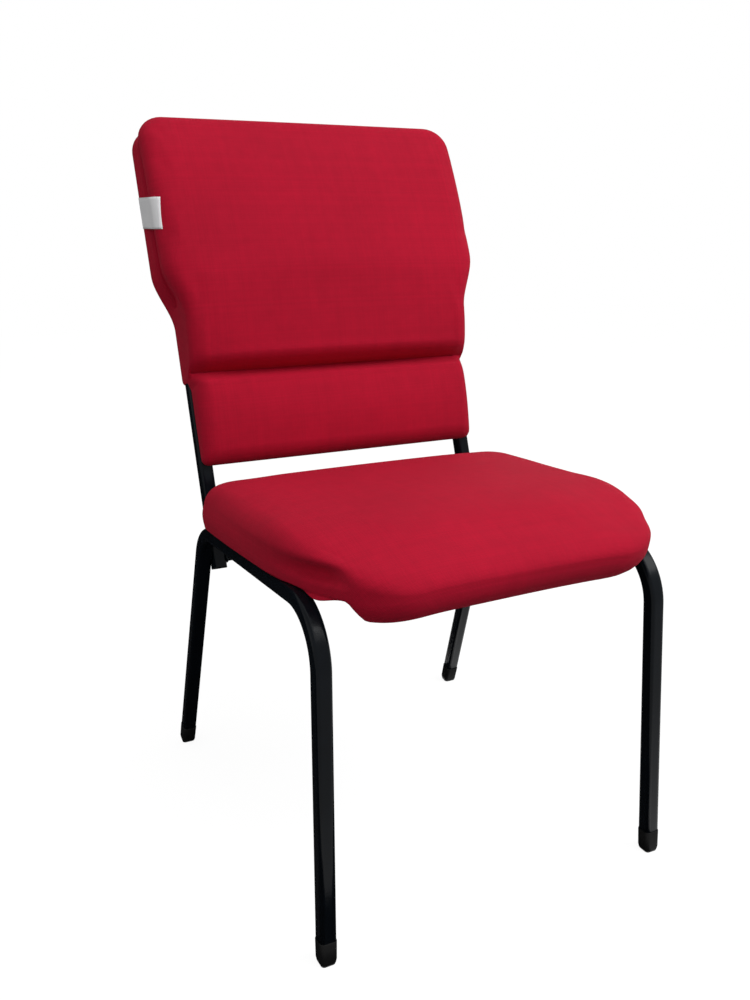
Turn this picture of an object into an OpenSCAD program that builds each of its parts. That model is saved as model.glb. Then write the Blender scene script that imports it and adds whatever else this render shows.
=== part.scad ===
// Stacking choir chair: a fixed frame of bent square tube, a waterfall seat and a winged back.
// Millimetres, Z up, the chair faces -Y. The origin is on the floor in the middle of the footprint.

/* [Stance] */
// Height of the seat rail where its line meets the front leg's line
rail_h = 395.5; // [340:0.5:460]
// Distance from the front feet to the rear feet, front to back
foot_spread = 521; // [480:1:580]
// How far the middle of each front foot stands inside the seat cushion's side
foot_tuck = 10.5; // [0:0.5:20]
// Lean of the front legs, back towards their tops
front_rake = 3.3; // [0:0.1:8]
// Fall of the seat rails towards the back
rail_slope = 3.2; // [0:0.1:6]
// Lean of the rear legs, forward towards their tops
rear_rake = 18.5; // [14:0.1:22]
// Angle by which each side frame spreads outward towards the floor
side_splay = 1.4; // [0:0.1:4]
// Angle by which each side frame turns outward towards the back
side_toe = 1; // [0:0.1:3]

/* [Tube] */
// Width of the square frame tube
tube_w = 19; // [16:0.5:25]
// Wall of the frame tube
tube_wall = 1.5; // [1:0.1:2.5]
// Radius of the tube's rounded corners
tube_corner = 4.5; // [3:0.5:6]
// Radius of the front bend, to the middle of the tube
front_bend_r = 66; // [35:1:80]
// Radius of the rear bend, to the middle of the tube
rear_bend_r = 60; // [35:1:90]

/* [Back frame] */
// Lean of the back uprights
back_rake = 19.5; // [12:0.1:24]
// Length of each back upright
upright_len = 430; // [380:1:500]
// How far each upright runs below the rear cross tube's middle
upright_drop = 16; // [12:1:30]
// Distance from the rails' rear corner down to the rear cross tube's middle
cross_drop = 44.7; // [40:0.1:60]
// Distance from the uprights' tops down to the bar inside the back
bar_drop = 84; // [65:1:120]

/* [Feet] */
// Wall of the foot caps round the tube
cap_wall = 1.55; // [1:0.05:3]
// Height of the foot caps
cap_h = 28; // [20:1:40]
// Thickness of the sole under the tube's end
cap_sole = 6; // [4:0.5:10]
// Radius of the domed sole
cap_dome_r = 22; // [18:1:40]

/* [Seat] */
// Width of the seat cushion
seat_w = 466; // [440:1:500]
// Distance from the seat cushion's rear edge to the rails' rear corner
seat_rear_gap = 5.4; // [0:0.1:20]
// How far the seat cushion's nose reaches in front of the rail's corner
seat_nose = 55; // [45:1:80]
// Thickness of the seat foam above the board
seat_foam = 43; // [35:1:70]
// Extra height of the seat's crown in the middle
seat_crown = 8; // [0:0.5:20]
// How far the front roll hangs below the top of the rails
roll_drop = 16; // [8:0.5:30]
// Depth of the front roll, from its nose to the step behind it
roll_depth = 42; // [38:1:44]
// Height of the flat band between the nose's upper and lower roundings
nose_flat = 5.8; // [1:0.1:15]
// Width of each rounded front corner, seen from above
corner_across = 110; // [60:1:140]
// Length of each rounded front corner, seen from above
corner_along = 200; // [120:1:240]
// Radius of the seat's rear corners, seen from above
rear_corner_r = 40; // [15:1:50]
// Rounding of the seat's upper edges
seat_edge = 24; // [12:1:28]
// How far the upper edge's rounding reaches in at the nose and the front corners
nose_edge = 44; // [24:1:60]
// Rounding of the front roll's lower edge
roll_edge = 16; // [8:1:20]
// Width of the foam lip round the seat board
board_lip = 9; // [6:1:20]
// Thickness of the seat board
board_t = 12; // [9:1:18]
// Thickness of the dust cover under the seat board
dust_t = 0.8; // [0.5:0.1:2]

/* [Back] */
// Distance up the uprights from the rear cross tube to the back cushion's lower edge
back_start = 121.5; // [110:0.5:160]
// Height of the back cushion along its slope
back_h = 476; // [420:1:540]
// How far each side of the back's lower section lies inside the uprights' outer faces
back_tuck = 2.9; // [0:0.1:6]
// How far each wing stands out past the lower section
wing_out = 26.5; // [15:0.5:45]
// How far each top corner would stand out past the lower section if it were square
top_out = 28.5; // [15:0.5:45]
// Distance from the sewn channel up to where the wings begin
wing_up = 66.5; // [45:0.5:90]
// Height over which the wings widen
wing_rise = 78; // [60:1:120]
// Radius of the back cushion's top corners
top_corner_r = 36; // [33:1:60]
// Radius of the back cushion's lower corners
low_corner_r = 10; // [6:1:30]
// Thickness of the back board
back_board_t = 9; // [6:1:15]
// Thickness of the back foam next to its sewn channel
back_foam = 18.5; // [16:0.5:40]
// How far the back's upper part bulges past that foam
back_bulge = 32; // [0:1:40]
// How far the back's lower part bulges past that foam
low_bulge = 3; // [0:1:12]
// Extra thickness of the back cushion halfway across
back_crown = 5; // [0:1:25]
// Rounding of the back cushion's face edges
back_edge = 21; // [14:1:32]
// Distance from the back cushion's lower edge to its sewn channel
channel_up = 125.5; // [100:0.5:150]
// Depth of the sewn channel
channel_depth = 15; // [5:1:22]
// Half the width of the sewn channel
channel_half = 15; // [8:1:20]
// Thickness of the upholstered rear panel
rear_panel_t = 7; // [4:0.5:12]

/* [Fasteners] */
// Thread diameter of the seat and back screws
screw_d = 6; // [4:0.5:8]
// Diameter of the screw heads
screw_head_d = 11.5; // [8:0.5:14]
// Diameter of the washers
washer_d = 16; // [12:0.5:20]
// Thickness of the washers
washer_t = 1.6; // [1:0.1:2.5]
// Diameter of the flange of the tee nuts
tee_flange_d = 19; // [14:0.5:24]
// Width of the frame tabs that carry the seat
tab_w = 28; // [22:1:40]
// Thickness of the frame tabs
tab_t = 3; // [2:0.5:5]

/* [Label] */
// Width of the blank label, measured round the cushion's edge
label_w = 52; // [40:1:70]
// Length of the blank label along the cushion's side
label_l = 47; // [25:1:60]
// Thickness of the folded label
label_t = 0.6; // [0.4:0.1:1.2]

/* [Hidden] */

// Clearance between pieces that lie on, or slip into, each other
fit_gap = 0.2;
// Clearance between a leaning tube's side and the tube welded to it
weld_gap = 0.7;
// Overrun of every cut past the face that it opens
over = 1;
// How far the bends stand proud of the straight runs, and how far those run into the bends
bend_swell = 0.02;
bend_lap = 0.5;
// Facets of each rounded tube corner
corner_steps = 5;
// Facets of a full turn on round pieces
round_steps = 48;

// Shares of a flat run and its curve that the smooth steps below use
function smooth_step(t) = t <= 0 ? 0 : t >= 1 ? 1 : t * t * (3 - 2 * t);
function heading(a) = [cos(a), sin(a)];
function cross_of(a, b) = a[0] * b[1] - a[1] * b[0];

// The side frame's line, in its own plane: distance back, then height
half_tube = tube_w / 2;
cap_w = tube_w + 2 * (fit_gap + cap_wall);
front_foot_w = seat_w - 2 * foot_tuck;
front_corner = [rail_h * tan(front_rake), rail_h];
rear_foot = [foot_spread, 0];
front_leg_up = heading(90 - front_rake);
rear_leg_up = heading(90 + rear_rake);
rail_back = heading(-rail_slope);
rail_len = cross_of(rear_foot - front_corner, rear_leg_up) / cross_of(rail_back, rear_leg_up);
rear_corner = front_corner + rail_len * rail_back;
front_turn = 90 + rail_slope - front_rake;
rear_turn = 90 - rail_slope - rear_rake;
front_run = front_bend_r * tan(front_turn / 2);
rear_run = rear_bend_r * tan(rear_turn / 2);
front_leg_start = cap_sole + cap_w / 2 * tan(front_rake);
rear_leg_start = cap_sole + cap_w / 2 * tan(rear_rake);

// Sideways place of the side frame's middle at a distance back and a height
function frame_x(y, z) = front_foot_w / 2 + y * tan(side_toe) - z * tan(side_splay);
function inner_face_x(y, z) = frame_x(y, z) - half_tube - weld_gap;

// The rear cross tube sits where the uprights cross the rear legs
rear_cross_h = rear_corner[1] - cross_drop;
rear_cross = [foot_spread - rear_cross_h * tan(rear_rake), rear_cross_h];
upright_x = inner_face_x(rear_cross[0], rear_cross[1]) - half_tube;
upright_inner_x = upright_x - half_tube - fit_gap;
upright_top = upright_len - upright_drop;

// The front cross tube lies just behind the front bends
front_cross_back = front_bend_r + half_tube;

// The whole chair is moved forward so that its origin is in the middle of its depth
module centred() {
    translate([0, -middle_y, 0]) children();
}

// Axes of the seat: the front bend's corner, Y back along the rails, Z square to them
module seat_axes() {
    centred() translate([0, front_corner[0], front_corner[1]]) rotate([-rail_slope, 0, 0]) children();
}

// Axes of the back: the rear cross tube's middle, Z up along the uprights, Y out of the rear
module back_axes() {
    centred() translate([0, rear_cross[0], rear_cross[1]]) rotate([-back_rake, 0, 0]) children();
}

// Corner points of a rounded square
function rounded_points(w, r) = [
    for (q = [0:3])
        for (i = [0:corner_steps])
            let (a = q * 90 + i * 90 / corner_steps)
            let (sx = q == 0 || q == 3 ? 1 : -1, sy = q < 2 ? 1 : -1)
            [sx * (w / 2 - r) + r * cos(a), sy * (w / 2 - r) + r * sin(a)]
];

// Cross-section of the tube, thickened both ways by a swell
module tube_section(swell = 0) {
    difference() {
        polygon(rounded_points(tube_w + 2 * swell, tube_corner + swell));
        polygon(rounded_points(tube_w - 2 * tube_wall - 2 * swell, tube_corner - tube_wall - swell));
    }
}

// A straight run of tube between two points of a side frame's plane, lapping the bends at its ends
module straight_tube(a, b, start_lap, end_lap) {
    d = b - a;
    translate([0, a[0], a[1]])
        rotate([-atan2(d[0], d[1]), 0, 0])
            translate([0, 0, -start_lap]) linear_extrude(norm(d) + start_lap + end_lap) tube_section();
}

// A bend of tube round a centre in a side frame's plane, from one heading up to the next
module bent_tube(centre, from, turn, r) {
    translate([0, centre[0], centre[1]])
        rotate([from + 90, 0, 0]) rotate([0, 90, 0])
            rotate_extrude(angle = turn, $fn = 2 * round_steps) translate([r, 0]) tube_section(bend_swell);
}

// One bent side frame, standing on its front foot's point
module side_frame() {
    leg_top = front_corner - front_run * front_leg_up;
    rail_front = front_corner + front_run * rail_back;
    rail_rear = rear_corner - rear_run * rail_back;
    rear_leg_top = rear_corner - rear_run * rear_leg_up;
    straight_tube(front_leg_start * front_leg_up, leg_top, 0, bend_lap);
    bent_tube(rail_front - front_bend_r * heading(90 - rail_slope), 90 - rail_slope, front_turn, front_bend_r);
    straight_tube(rail_front, rail_rear, bend_lap, bend_lap);
    bent_tube(rear_leg_top - rear_bend_r * heading(rear_rake), rear_rake, rear_turn, rear_bend_r);
    straight_tube(rear_foot + rear_leg_start * rear_leg_up, rear_leg_top, 0, bend_lap);
}

// Puts a side frame's plane in its place on the right, spread and turned outward
module side_place() {
    centred() translate([front_foot_w / 2, 0, 0])
        rotate([0, 0, -side_toe]) rotate([0, -side_splay, 0]) children();
}

module mirrored() {
    mirror([1, 0, 0]) children();
}

module right_side_frame() {
    color("#14161a") side_place() side_frame();
}

module left_side_frame() {
    color("#14161a") mirrored() side_place() side_frame();
}

// A foot cap on a leg that leans by an angle, its dome cut flat by the floor
module foot_cap(point, lean, start) {
    dome_cut = cap_w / 2 - tube_corner;
    dome_drop = cap_dome_r - sqrt(cap_dome_r * cap_dome_r - dome_cut * dome_cut);
    dome_h = (cap_dome_r - dome_drop) / cos(lean);
    cap_top = start + cap_h - cap_sole;
    difference() {
        translate([0, point[0], point[1]]) rotate([lean, 0, 0])
            intersection() {
                translate([0, 0, -cap_h])
                    linear_extrude(cap_h + cap_top) polygon(rounded_points(cap_w, tube_corner + fit_gap));
                translate([0, 0, dome_h]) dome_body(cap_top);
            }
        translate([0, point[0], point[1]]) rotate([lean, 0, 0])
            translate([0, 0, start - fit_gap])
                linear_extrude(cap_top) polygon(rounded_points(tube_w + 2 * fit_gap, tube_corner + fit_gap));
        rotate([0, side_splay, 0])
            translate([-cap_h, point[0] - 2 * cap_h, -2 * cap_h]) cube([2 * cap_h, 4 * cap_h, 2 * cap_h]);
    }
}

// A round post with a domed lower end, its dome's centre at the origin
module dome_body(h) {
    dome = [for (i = [0:corner_steps * 2]) cap_dome_r * heading(-90 + i * 90 / (corner_steps * 2))];
    rotate_extrude($fn = round_steps)
        polygon(concat(dome, [[cap_dome_r, h], [0, h]]));
}

module front_right_foot() {
    color("#101114") side_place() foot_cap([0, 0], -front_rake, front_leg_start);
}

module front_left_foot() {
    color("#101114") mirrored() side_place() foot_cap([0, 0], -front_rake, front_leg_start);
}

module rear_right_foot() {
    color("#101114") side_place() foot_cap(rear_foot, rear_rake, rear_leg_start);
}

module rear_left_foot() {
    color("#101114") mirrored() side_place() foot_cap(rear_foot, rear_rake, rear_leg_start);
}

// A tube that runs across the chair, centred on its own middle
module cross_tube(half_len) {
    translate([-half_len, 0, 0]) rotate([0, 90, 0]) linear_extrude(2 * half_len) tube_section();
}

module front_cross_tube() {
    at = front_corner + front_cross_back * rail_back;
    color("#14161a") seat_axes() translate([0, front_cross_back, 0])
        cross_tube(inner_face_x(at[0], at[1] + half_tube));
}

module rear_cross_tube() {
    color("#14161a") back_axes() cross_tube(upright_inner_x);
}

module back_cross_bar() {
    color("#14161a") back_axes() translate([0, 0, upright_top - bar_drop]) cross_tube(upright_inner_x);
}

// A closed skin over a stack of rings with equally many points, each end closed round its middle
module loft(rings) {
    n = len(rings[0]);
    m = len(rings);
    last = rings[m - 1];
    sides = [
        for (j = [0:m - 2])
            for (i = [0:n - 1])
                let (a = j * n + i, b = j * n + (i + 1) % n)
                each [[a, b + n, b], [a, a + n, b + n]]
    ];
    lower = [for (i = [0:n - 1]) [m * n, i, (i + 1) % n]];
    upper = [for (i = [0:n - 1]) [m * n + 1, (m - 1) * n + (i + 1) % n, (m - 1) * n + i]];
    points = concat([for (ring = rings) each ring], [middle(rings[0]), middle(last)]);
    polyhedron(points, concat(sides, lower, upper));
}

// The middle of a ring of points
function middle(ring) = [for (p = ring) 1 / len(ring)] * ring;

function lerp(a, b, t) = a + (b - a) * t;
function mirror_half(half) = concat(half, [for (i = [len(half) - 1:-1:0]) [-half[i][0], half[i][1]]]);

// Seat levels along the seat's own axes
seat_under = half_tube + fit_gap;
board_low = seat_under + dust_t;
board_top = board_low + board_t;
seat_half = seat_w / 2;
seat_rear = rail_len - seat_rear_gap;
seat_depth = seat_rear + seat_nose;
roll_low = seat_under - roll_drop;
nose_top = roll_low + roll_edge + nose_flat + seat_edge;
waterfall = board_top + seat_foam - nose_top;
corner_y = corner_along - seat_nose;
board_front = roll_depth - seat_nose;
seat_mid = [0, (seat_rear - seat_nose) / 2];

// Shares below one make the front corners fuller than an ellipse
corner_share = 0.94;
corner_points = 9;
rear_points = 4;
flat_shares = [0.15, 0.5, 0.85];

// Half the seat's outline from above, drawn in by an inset, its front edge at a given place
function seat_half_plan(inset, front) =
    let (
        cx = seat_half - corner_across,
        ax = corner_across - inset,
        ay = corner_y - front,
        r = rear_corner_r - inset / 2,
        rx = seat_half - inset - r,
        ry = seat_rear - inset - r
    )
    concat(
        [for (t = flat_shares) [t * cx, front]],
        [for (i = [0:corner_points])
            let (a = i * 90 / corner_points)
            [cx + ax * pow(sin(a), corner_share), corner_y - ay * pow(cos(a), corner_share)]],
        [for (t = flat_shares) [seat_half - inset, lerp(corner_y, ry, t)]],
        [for (i = [0:rear_points]) [rx, ry] + r * heading(i * 90 / rear_points)],
        [for (i = [len(flat_shares) - 1:-1:0]) [flat_shares[i] * rx, seat_rear - inset]]
    );
function seat_plan(inset, front) = mirror_half(seat_half_plan(inset, front));

outer_plan = seat_plan(0, -seat_nose);
board_plan = seat_plan(board_lip, board_front);
recess_plan = seat_plan(board_lip - fit_gap, board_front - fit_gap);

// How much of the front roll is present at a distance back: all at the nose, none behind the step
roll_step = 17;
function roll_share(y) = 1 - smooth_step((y - board_front + roll_step) / roll_step);
function under_level(y) = lerp(seat_under, roll_low, roll_share(y));

// Top of the seat, crowned across and along, falling towards the nose
function seat_top(p) =
    let (t = max(0, (seat_mid[1] - p[1]) / (seat_mid[1] + seat_nose)))
    let (l = (p[1] - seat_mid[1]) / (seat_depth / 2))
    board_top + seat_foam - waterfall * t * t * t
        + seat_crown * (1 - pow(p[0] / seat_half, 2)) * (1 - l * l * l * l);

// A point moved towards the seat's middle by a distance
function drawn_in(p, d) = p + (seat_mid - p) * d / norm(seat_mid - p);

// How much a point of the outline belongs to the front, and how far its upper edge is rounded in
function front_share(p) = 1 - smooth_step((p[1] + seat_nose) / corner_along);
function edge_reach(p) = lerp(seat_edge, nose_edge, front_share(p));

side_edge = 4;
side_bulge = 2;
function low_edge(p) = lerp(side_edge, roll_edge, roll_share(p[1]));
// The step under the foam's edge: how far out and how far down its foot lies
side_step_share = 0.4;
roll_step_share = 0.6;
step_fall_share = 0.9;
middle_share = 0.5;
edge_angles = [0, 24, 48, 70, 90];
bottom_angles = [90, 55, 20, 0];
crown_shares = [0.75, 0.5, 0.25, 0.08];
function seat_rings() = concat(
    [[for (p = recess_plan) [p[0], p[1], board_top + fit_gap]]],
    [[for (p = recess_plan) [p[0], p[1], seat_under]]],
    [[for (p = recess_plan) let (q = drawn_in(p, -side_edge / 2)) [q[0], q[1], seat_under]]],
    [[for (i = [0:len(outer_plan) - 1])
        let (a = recess_plan[i], b = outer_plan[i], s = roll_share(b[1]))
        let (q = lerp(drawn_in(a, -side_edge / 2), drawn_in(b, low_edge(b)), lerp(side_step_share, roll_step_share, s)))
        [q[0], q[1], lerp(seat_under, under_level(b[1]), step_fall_share)]]],
    [for (a = bottom_angles)
        [for (p = outer_plan)
            let (r = low_edge(p), q = drawn_in(p, r * (1 - cos(a))))
            [q[0], q[1], under_level(p[1]) + r * (1 - sin(a))]]],
    [[for (p = outer_plan)
        let (q = drawn_in(p, -side_bulge * (1 - front_share(p))))
        [q[0], q[1], lerp(under_level(p[1]) + low_edge(p), seat_top(p) - seat_edge, middle_share)]]],
    [for (a = edge_angles)
        [for (p = outer_plan)
            let (q = drawn_in(p, edge_reach(p) * (1 - cos(a))))
            [q[0], q[1], seat_top(q) - seat_edge * (1 - sin(a))]]],
    [for (s = crown_shares)
        [for (p = outer_plan)
            let (q = lerp(seat_mid, drawn_in(p, edge_reach(p)), s))
            [q[0], q[1], seat_top(q)]]]
);

module seat_cushion() {
    color("#b01c38") seat_axes() loft(seat_rings());
}

// Places of the four seat tabs, along the rails
tab_l = 32;
tab_along = [front_cross_back + half_tube + tab_l, rail_len - rear_run - tab_l];
function rail_inner_x(along) =
    let (at = front_corner + along * rail_back)
    inner_face_x(at[0], at[1] + half_tube);
screw_hole_r = (screw_d + 2 * fit_gap) / 2;
tee_wall = 1.2;
tee_barrel_r = screw_d / 2 + tee_wall;
tee_flange_t = 1.5;
tee_barrel_share = 0.75;
screw_head_h = 4;
screw_socket_share = 0.33;
screw_dome_share = 0.67;

module at_seat_tabs() {
    for (side = [-1, 1])
        for (along = tab_along)
            translate([side * (rail_inner_x(along) - tab_w / 2), along, 0]) children();
}

// One welded tab, its face up at the origin's height
module tab() {
    difference() {
        translate([-tab_w / 2, -tab_l / 2, -tab_t]) cube([tab_w, tab_l, tab_t]);
        translate([0, 0, -tab_t - over]) cylinder(r = screw_hole_r, h = tab_t + 2 * over, $fn = round_steps);
    }
}

module seat_tabs() {
    color("#14161a") seat_axes() at_seat_tabs() translate([0, 0, half_tube]) tab();
}

module seat_dust_cover() {
    color("#1b1b1d") seat_axes() difference() {
        translate([0, 0, seat_under]) linear_extrude(dust_t - fit_gap / 2)
            polygon(seat_plan(2 * board_lip, board_front + board_lip));
        at_seat_tabs() cylinder(r = screw_hole_r, h = board_low + over, $fn = round_steps);
    }
}

// Stepped hole through a board for a tee nut whose flange is sunk in the far face
module tee_hole(t) {
    translate([0, 0, -over]) cylinder(r = tee_barrel_r + fit_gap, h = t + 2 * over, $fn = round_steps);
    translate([0, 0, t - tee_flange_t - fit_gap])
        cylinder(r = tee_flange_d / 2 + fit_gap, h = tee_flange_t + fit_gap + over, $fn = round_steps);
}

module tee_nut(t) {
    difference() {
        union() {
            translate([0, 0, t - t * tee_barrel_share])
                cylinder(r = tee_barrel_r, h = t * tee_barrel_share - tee_flange_t, $fn = round_steps);
            translate([0, 0, t - tee_flange_t])
                cylinder(r = tee_flange_d / 2, h = tee_flange_t, $fn = round_steps);
        }
        cylinder(r = screw_d / 2 + fit_gap / 2, h = t + over, $fn = round_steps);
    }
}

module washer() {
    translate([0, 0, -washer_t]) difference() {
        cylinder(r = washer_d / 2, h = washer_t, $fn = round_steps);
        translate([0, 0, -over]) cylinder(r = screw_hole_r, h = washer_t + 2 * over, $fn = round_steps);
    }
}

// A button-head screw whose head lies under the origin, with its shank up
module screw(reach) {
    socket = screw_head_d * screw_socket_share;
    dome = screw_head_d * screw_dome_share;
    difference() {
        union() {
            translate([0, 0, -screw_head_h / 2]) cylinder(d = screw_head_d, h = screw_head_h / 2, $fn = round_steps);
            translate([0, 0, -screw_head_h])
                cylinder(d1 = dome, d2 = screw_head_d, h = screw_head_h / 2, $fn = round_steps);
            cylinder(d = screw_d, h = reach, $fn = round_steps);
        }
        translate([0, 0, -screw_head_h - over]) cylinder(d = socket, h = screw_head_h / 2 + over, $fn = 6);
    }
}

module seat_board() {
    color("#b98a55") seat_axes() difference() {
        translate([0, 0, board_low]) linear_extrude(board_t) polygon(board_plan);
        at_seat_tabs() translate([0, 0, board_low]) tee_hole(board_t);
    }
}

module seat_tee_nuts() {
    color("#b9bcc0") seat_axes() at_seat_tabs() translate([0, 0, board_low]) tee_nut(board_t);
}

module seat_washers() {
    color("#b9bcc0") seat_axes() at_seat_tabs() translate([0, 0, half_tube - tab_t - fit_gap / 2]) washer();
}

module seat_screws() {
    top = half_tube - tab_t - washer_t - fit_gap;
    color("#2a2b2e") seat_axes() at_seat_tabs()
        translate([0, 0, top]) screw(board_top - tee_flange_t / 2 - top);
}

// Back levels along the back's own axes, Y out of the rear
lining_t = 0.8;
lining_y = -half_tube - fit_gap;
board_rear_y = lining_y - lining_t;
board_face_y = board_rear_y - back_board_t;
wrap_panel_share = 0.75;
wrap_rear_y = half_tube + fit_gap + rear_panel_t * wrap_panel_share;
back_lip = 12;
wrap_start_share = 0.8;
wrap_v = channel_up - channel_half * wrap_start_share;
wall_step = 0.1;
cover_wall = 4;
wrap_cover = 0.9;
upright_top_v = upright_top - back_start;
wing_start = channel_up + wing_up;
wing_full = wing_start + wing_rise;

// The middle of the chair's depth, from the nose to the back's top
nose_y = front_corner[0] - seat_nose * cos(rail_slope) + (roll_low + roll_edge) * sin(rail_slope);
back_top_y = rear_cross[0] + (back_start + back_h) * sin(back_rake) + wrap_rear_y * cos(back_rake);
middle_y = (nose_y + back_top_y) / 2;

// Half the back cushion's width at a distance up from its lower edge
wrap_half = upright_x + half_tube + fit_gap + wrap_cover;
back_low_w = 2 * (upright_x + half_tube - back_tuck);
back_wing_w = back_low_w + 2 * wing_out;
back_top_w = back_low_w + 2 * top_out;
function corner_loss(d, r) = d >= r ? 0 : r - sqrt(max(0, r * r - (r - d) * (r - d)));
function back_side(v) =
    let (low = v < wrap_v - wall_step ? back_low_w : max(back_low_w, 2 * wrap_half))
    v < wing_full
        ? lerp(low, back_wing_w, smooth_step((v - wing_start) / (wing_full - wing_start))) / 2
        : lerp(back_wing_w, back_top_w, (v - wing_full) / (back_h - wing_full)) / 2;
function back_half(v) = back_side(v) - corner_loss(v, low_corner_r) - corner_loss(back_h - v, top_corner_r);
function back_inner(v) = back_half(v) - cover_wall;
function pocket_half(v) = v >= wrap_v - wall_step && v < upright_top_v + back_lip
    ? max(back_inner(v), wrap_half - wrap_cover) : back_inner(v);

// How far the face has risen at a distance from an edge, round the edge's curve
function edge_rise(d, r) = d >= r ? 1 : sqrt(max(0, 1 - pow(1 - d / r, 2)));

// Shares below one make the bulges rise and fall more steeply at their ends
fullness_share = 0.75;
// Part of the channel's depth that is lost towards the cushion's sides
channel_fade_share = 0.5;

// The cushion's face at a place across and up: bulging above and below the sewn channel
function back_face(u, v) =
    let (
        above = v > channel_up,
        t = above ? (v - channel_up) / (back_h - channel_up) : v / channel_up,
        bow = pow(sin(t * 180), fullness_share),
        across = back_crown * bow * (1 - pow(u / back_side(v), 2)),
        fade = 1 - channel_fade_share * pow(u / back_side(v), 4),
        sewn = fade * channel_depth * exp(-pow((v - channel_up) / channel_half, 2))
    )
    board_face_y - back_foam - (above ? back_bulge : low_bulge) * bow - across + sewn;

face_angles = [0, 25, 50, 70, 90];
face_shares = [0.8, 0.55, 0.3, 0.1];
function back_front_half(v) =
    let (
        w = back_half(v),
        start = min(board_rear_y, back_face(w - back_edge, v) + back_edge),
        g = edge_rise(v, back_edge) * edge_rise(back_h - v, back_edge),
        us = concat(
            [for (a = face_angles) w - back_edge * (1 - cos(a))],
            [for (s = face_shares) s * (w - back_edge)]
        )
    )
    [for (u = us) [u, lerp(start, back_face(u, v), g * edge_rise(w - u, back_edge))]];

pocket_shares = [0.85, 0.65, 0.45, 0.25, 0.1];
function back_rear_half(v) =
    let (
        w = back_half(v),
        p = pocket_half(v),
        open = v > back_lip && v < back_h - back_lip,
        rear = v >= wrap_v ? wrap_rear_y : lining_y,
        inner = open ? board_face_y - fit_gap : rear
    )
    concat(
        [[w, rear - wall_step], [(w + p) / 2, rear], [p, rear], [p - wall_step, inner]],
        [for (s = pocket_shares) [s * p, inner]]
    );

function back_ring(v) =
    let (front = back_front_half(v), rear = back_rear_half(v), k = len(front) - 1)
    concat(
        [for (p = front) [-p[0], p[1], v]],
        [for (i = [k:-1:0]) [front[i][0], front[i][1], v]],
        [for (p = rear) [p[0], p[1], v]],
        [for (i = [k:-1:0]) [-rear[i][0], rear[i][1], v]]
    );

wing_row_shares = [0, 0.25, 0.5, 0.75, 1];
top_row_shares = [0.25, 0.5, 0.75, 1];
edge_row = 2.6;
back_rows = concat(
    [0, edge_row, back_lip, back_lip + wall_step, back_edge, channel_up / 2],
    [channel_up - 2 * channel_half, channel_up - channel_half, wrap_v - 2 * wall_step, wrap_v - wall_step, wrap_v],
    [channel_up, channel_up + channel_half / 2, channel_up + channel_half, channel_up + 2 * channel_half],
    [for (s = wing_row_shares) lerp(wing_start, wing_full, s)],
    [for (s = top_row_shares) lerp(wing_full, back_h - top_corner_r, s)],
    [back_h - back_edge, back_h - back_lip - wall_step, back_h - back_lip, back_h - edge_row, back_h]
);

module back_cushion() {
    color("#b01c38") back_axes() translate([0, 0, back_start]) loft([for (v = back_rows) back_ring(v)]);
}

// An upright slab in the back's axes, from one height to another, following the cushion's outline
// or, where it is wide, the pocket in the cushion's rear
slab_rows = 24;
function slab_half(v) = min(back_half(v), back_low_w / 2 + max(0, back_half(v) - wrap_half)) - cover_wall;
module back_slab(low, high, thickness, inset, wide = false) {
    vs = [for (i = [0:slab_rows]) lerp(low, high, i / slab_rows)];
    right = [for (v = vs) [(wide ? pocket_half(v) : slab_half(v)) - inset, v]];
    left = [for (i = [slab_rows:-1:0]) [-right[i][0], right[i][1]]];
    rotate([90, 0, 0]) linear_extrude(thickness) polygon(concat(right, left));
}

// Places of the four back tabs, up the uprights from the cushion's lower edge
low_tab_up = 36;
tab_up = [low_tab_up, upright_top_v - tab_l];
module at_back_tabs() {
    for (side = [-1, 1])
        for (up = tab_up)
            translate([side * (upright_inner_x - tab_w / 2), 0, back_start + up]) rotate([90, 0, 0]) children();
}

module back_tabs() {
    color("#14161a") back_axes() at_back_tabs() translate([0, 0, half_tube]) tab();
}

module back_board() {
    color("#b98a55") back_axes() difference() {
        translate([0, board_rear_y, back_start])
            back_slab(back_lip + fit_gap + wall_step, back_h - back_lip - fit_gap - wall_step, back_board_t, fit_gap);
        at_back_tabs() translate([0, 0, -board_rear_y]) tee_hole(back_board_t);
    }
}

module back_lining() {
    color("#8e1a30") back_axes() difference() {
        translate([0, lining_y, back_start])
            back_slab(back_lip + board_lip, wrap_v, lining_t - fit_gap / 2, board_lip);
        at_back_tabs() cylinder(r = screw_hole_r, h = tab_w, $fn = round_steps);
    }
}

module back_tee_nuts() {
    color("#b9bcc0") back_axes() at_back_tabs() translate([0, 0, -board_rear_y]) tee_nut(back_board_t);
}

module back_washers() {
    color("#b9bcc0") back_axes() at_back_tabs() translate([0, 0, half_tube - tab_t - fit_gap / 2]) washer();
}

module back_screws() {
    top = half_tube - tab_t - washer_t - fit_gap;
    color("#2a2b2e") back_axes() at_back_tabs()
        translate([0, 0, top]) screw(-board_face_y - tee_flange_t / 2 - top);
}

// Places of the push-in clips that hold the rear panel to the uprights
panel_gap = 0.6;
clip_r = 3;
clip_head_r = 5;
clip_head_t = 2;
clip_reach = 4.5;
clip_inset = 24;
clip_up = [channel_up + clip_inset, upright_top_v - clip_inset];
module at_clips() {
    for (side = [-1, 1])
        for (up = clip_up)
            translate([side * upright_x, half_tube, back_start + up]) rotate([90, 0, 0]) children();
}

module rear_panel() {
    color("#a51a35") back_axes() difference() {
        translate([0, half_tube + fit_gap + rear_panel_t, back_start])
            back_slab(channel_up, back_h - back_lip - fit_gap - wall_step, rear_panel_t, panel_gap, true);
        at_clips() translate([0, 0, -clip_head_t - 2 * fit_gap])
            cylinder(r = clip_head_r + fit_gap, h = clip_head_t + 2 * fit_gap, $fn = round_steps);
    }
}

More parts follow.
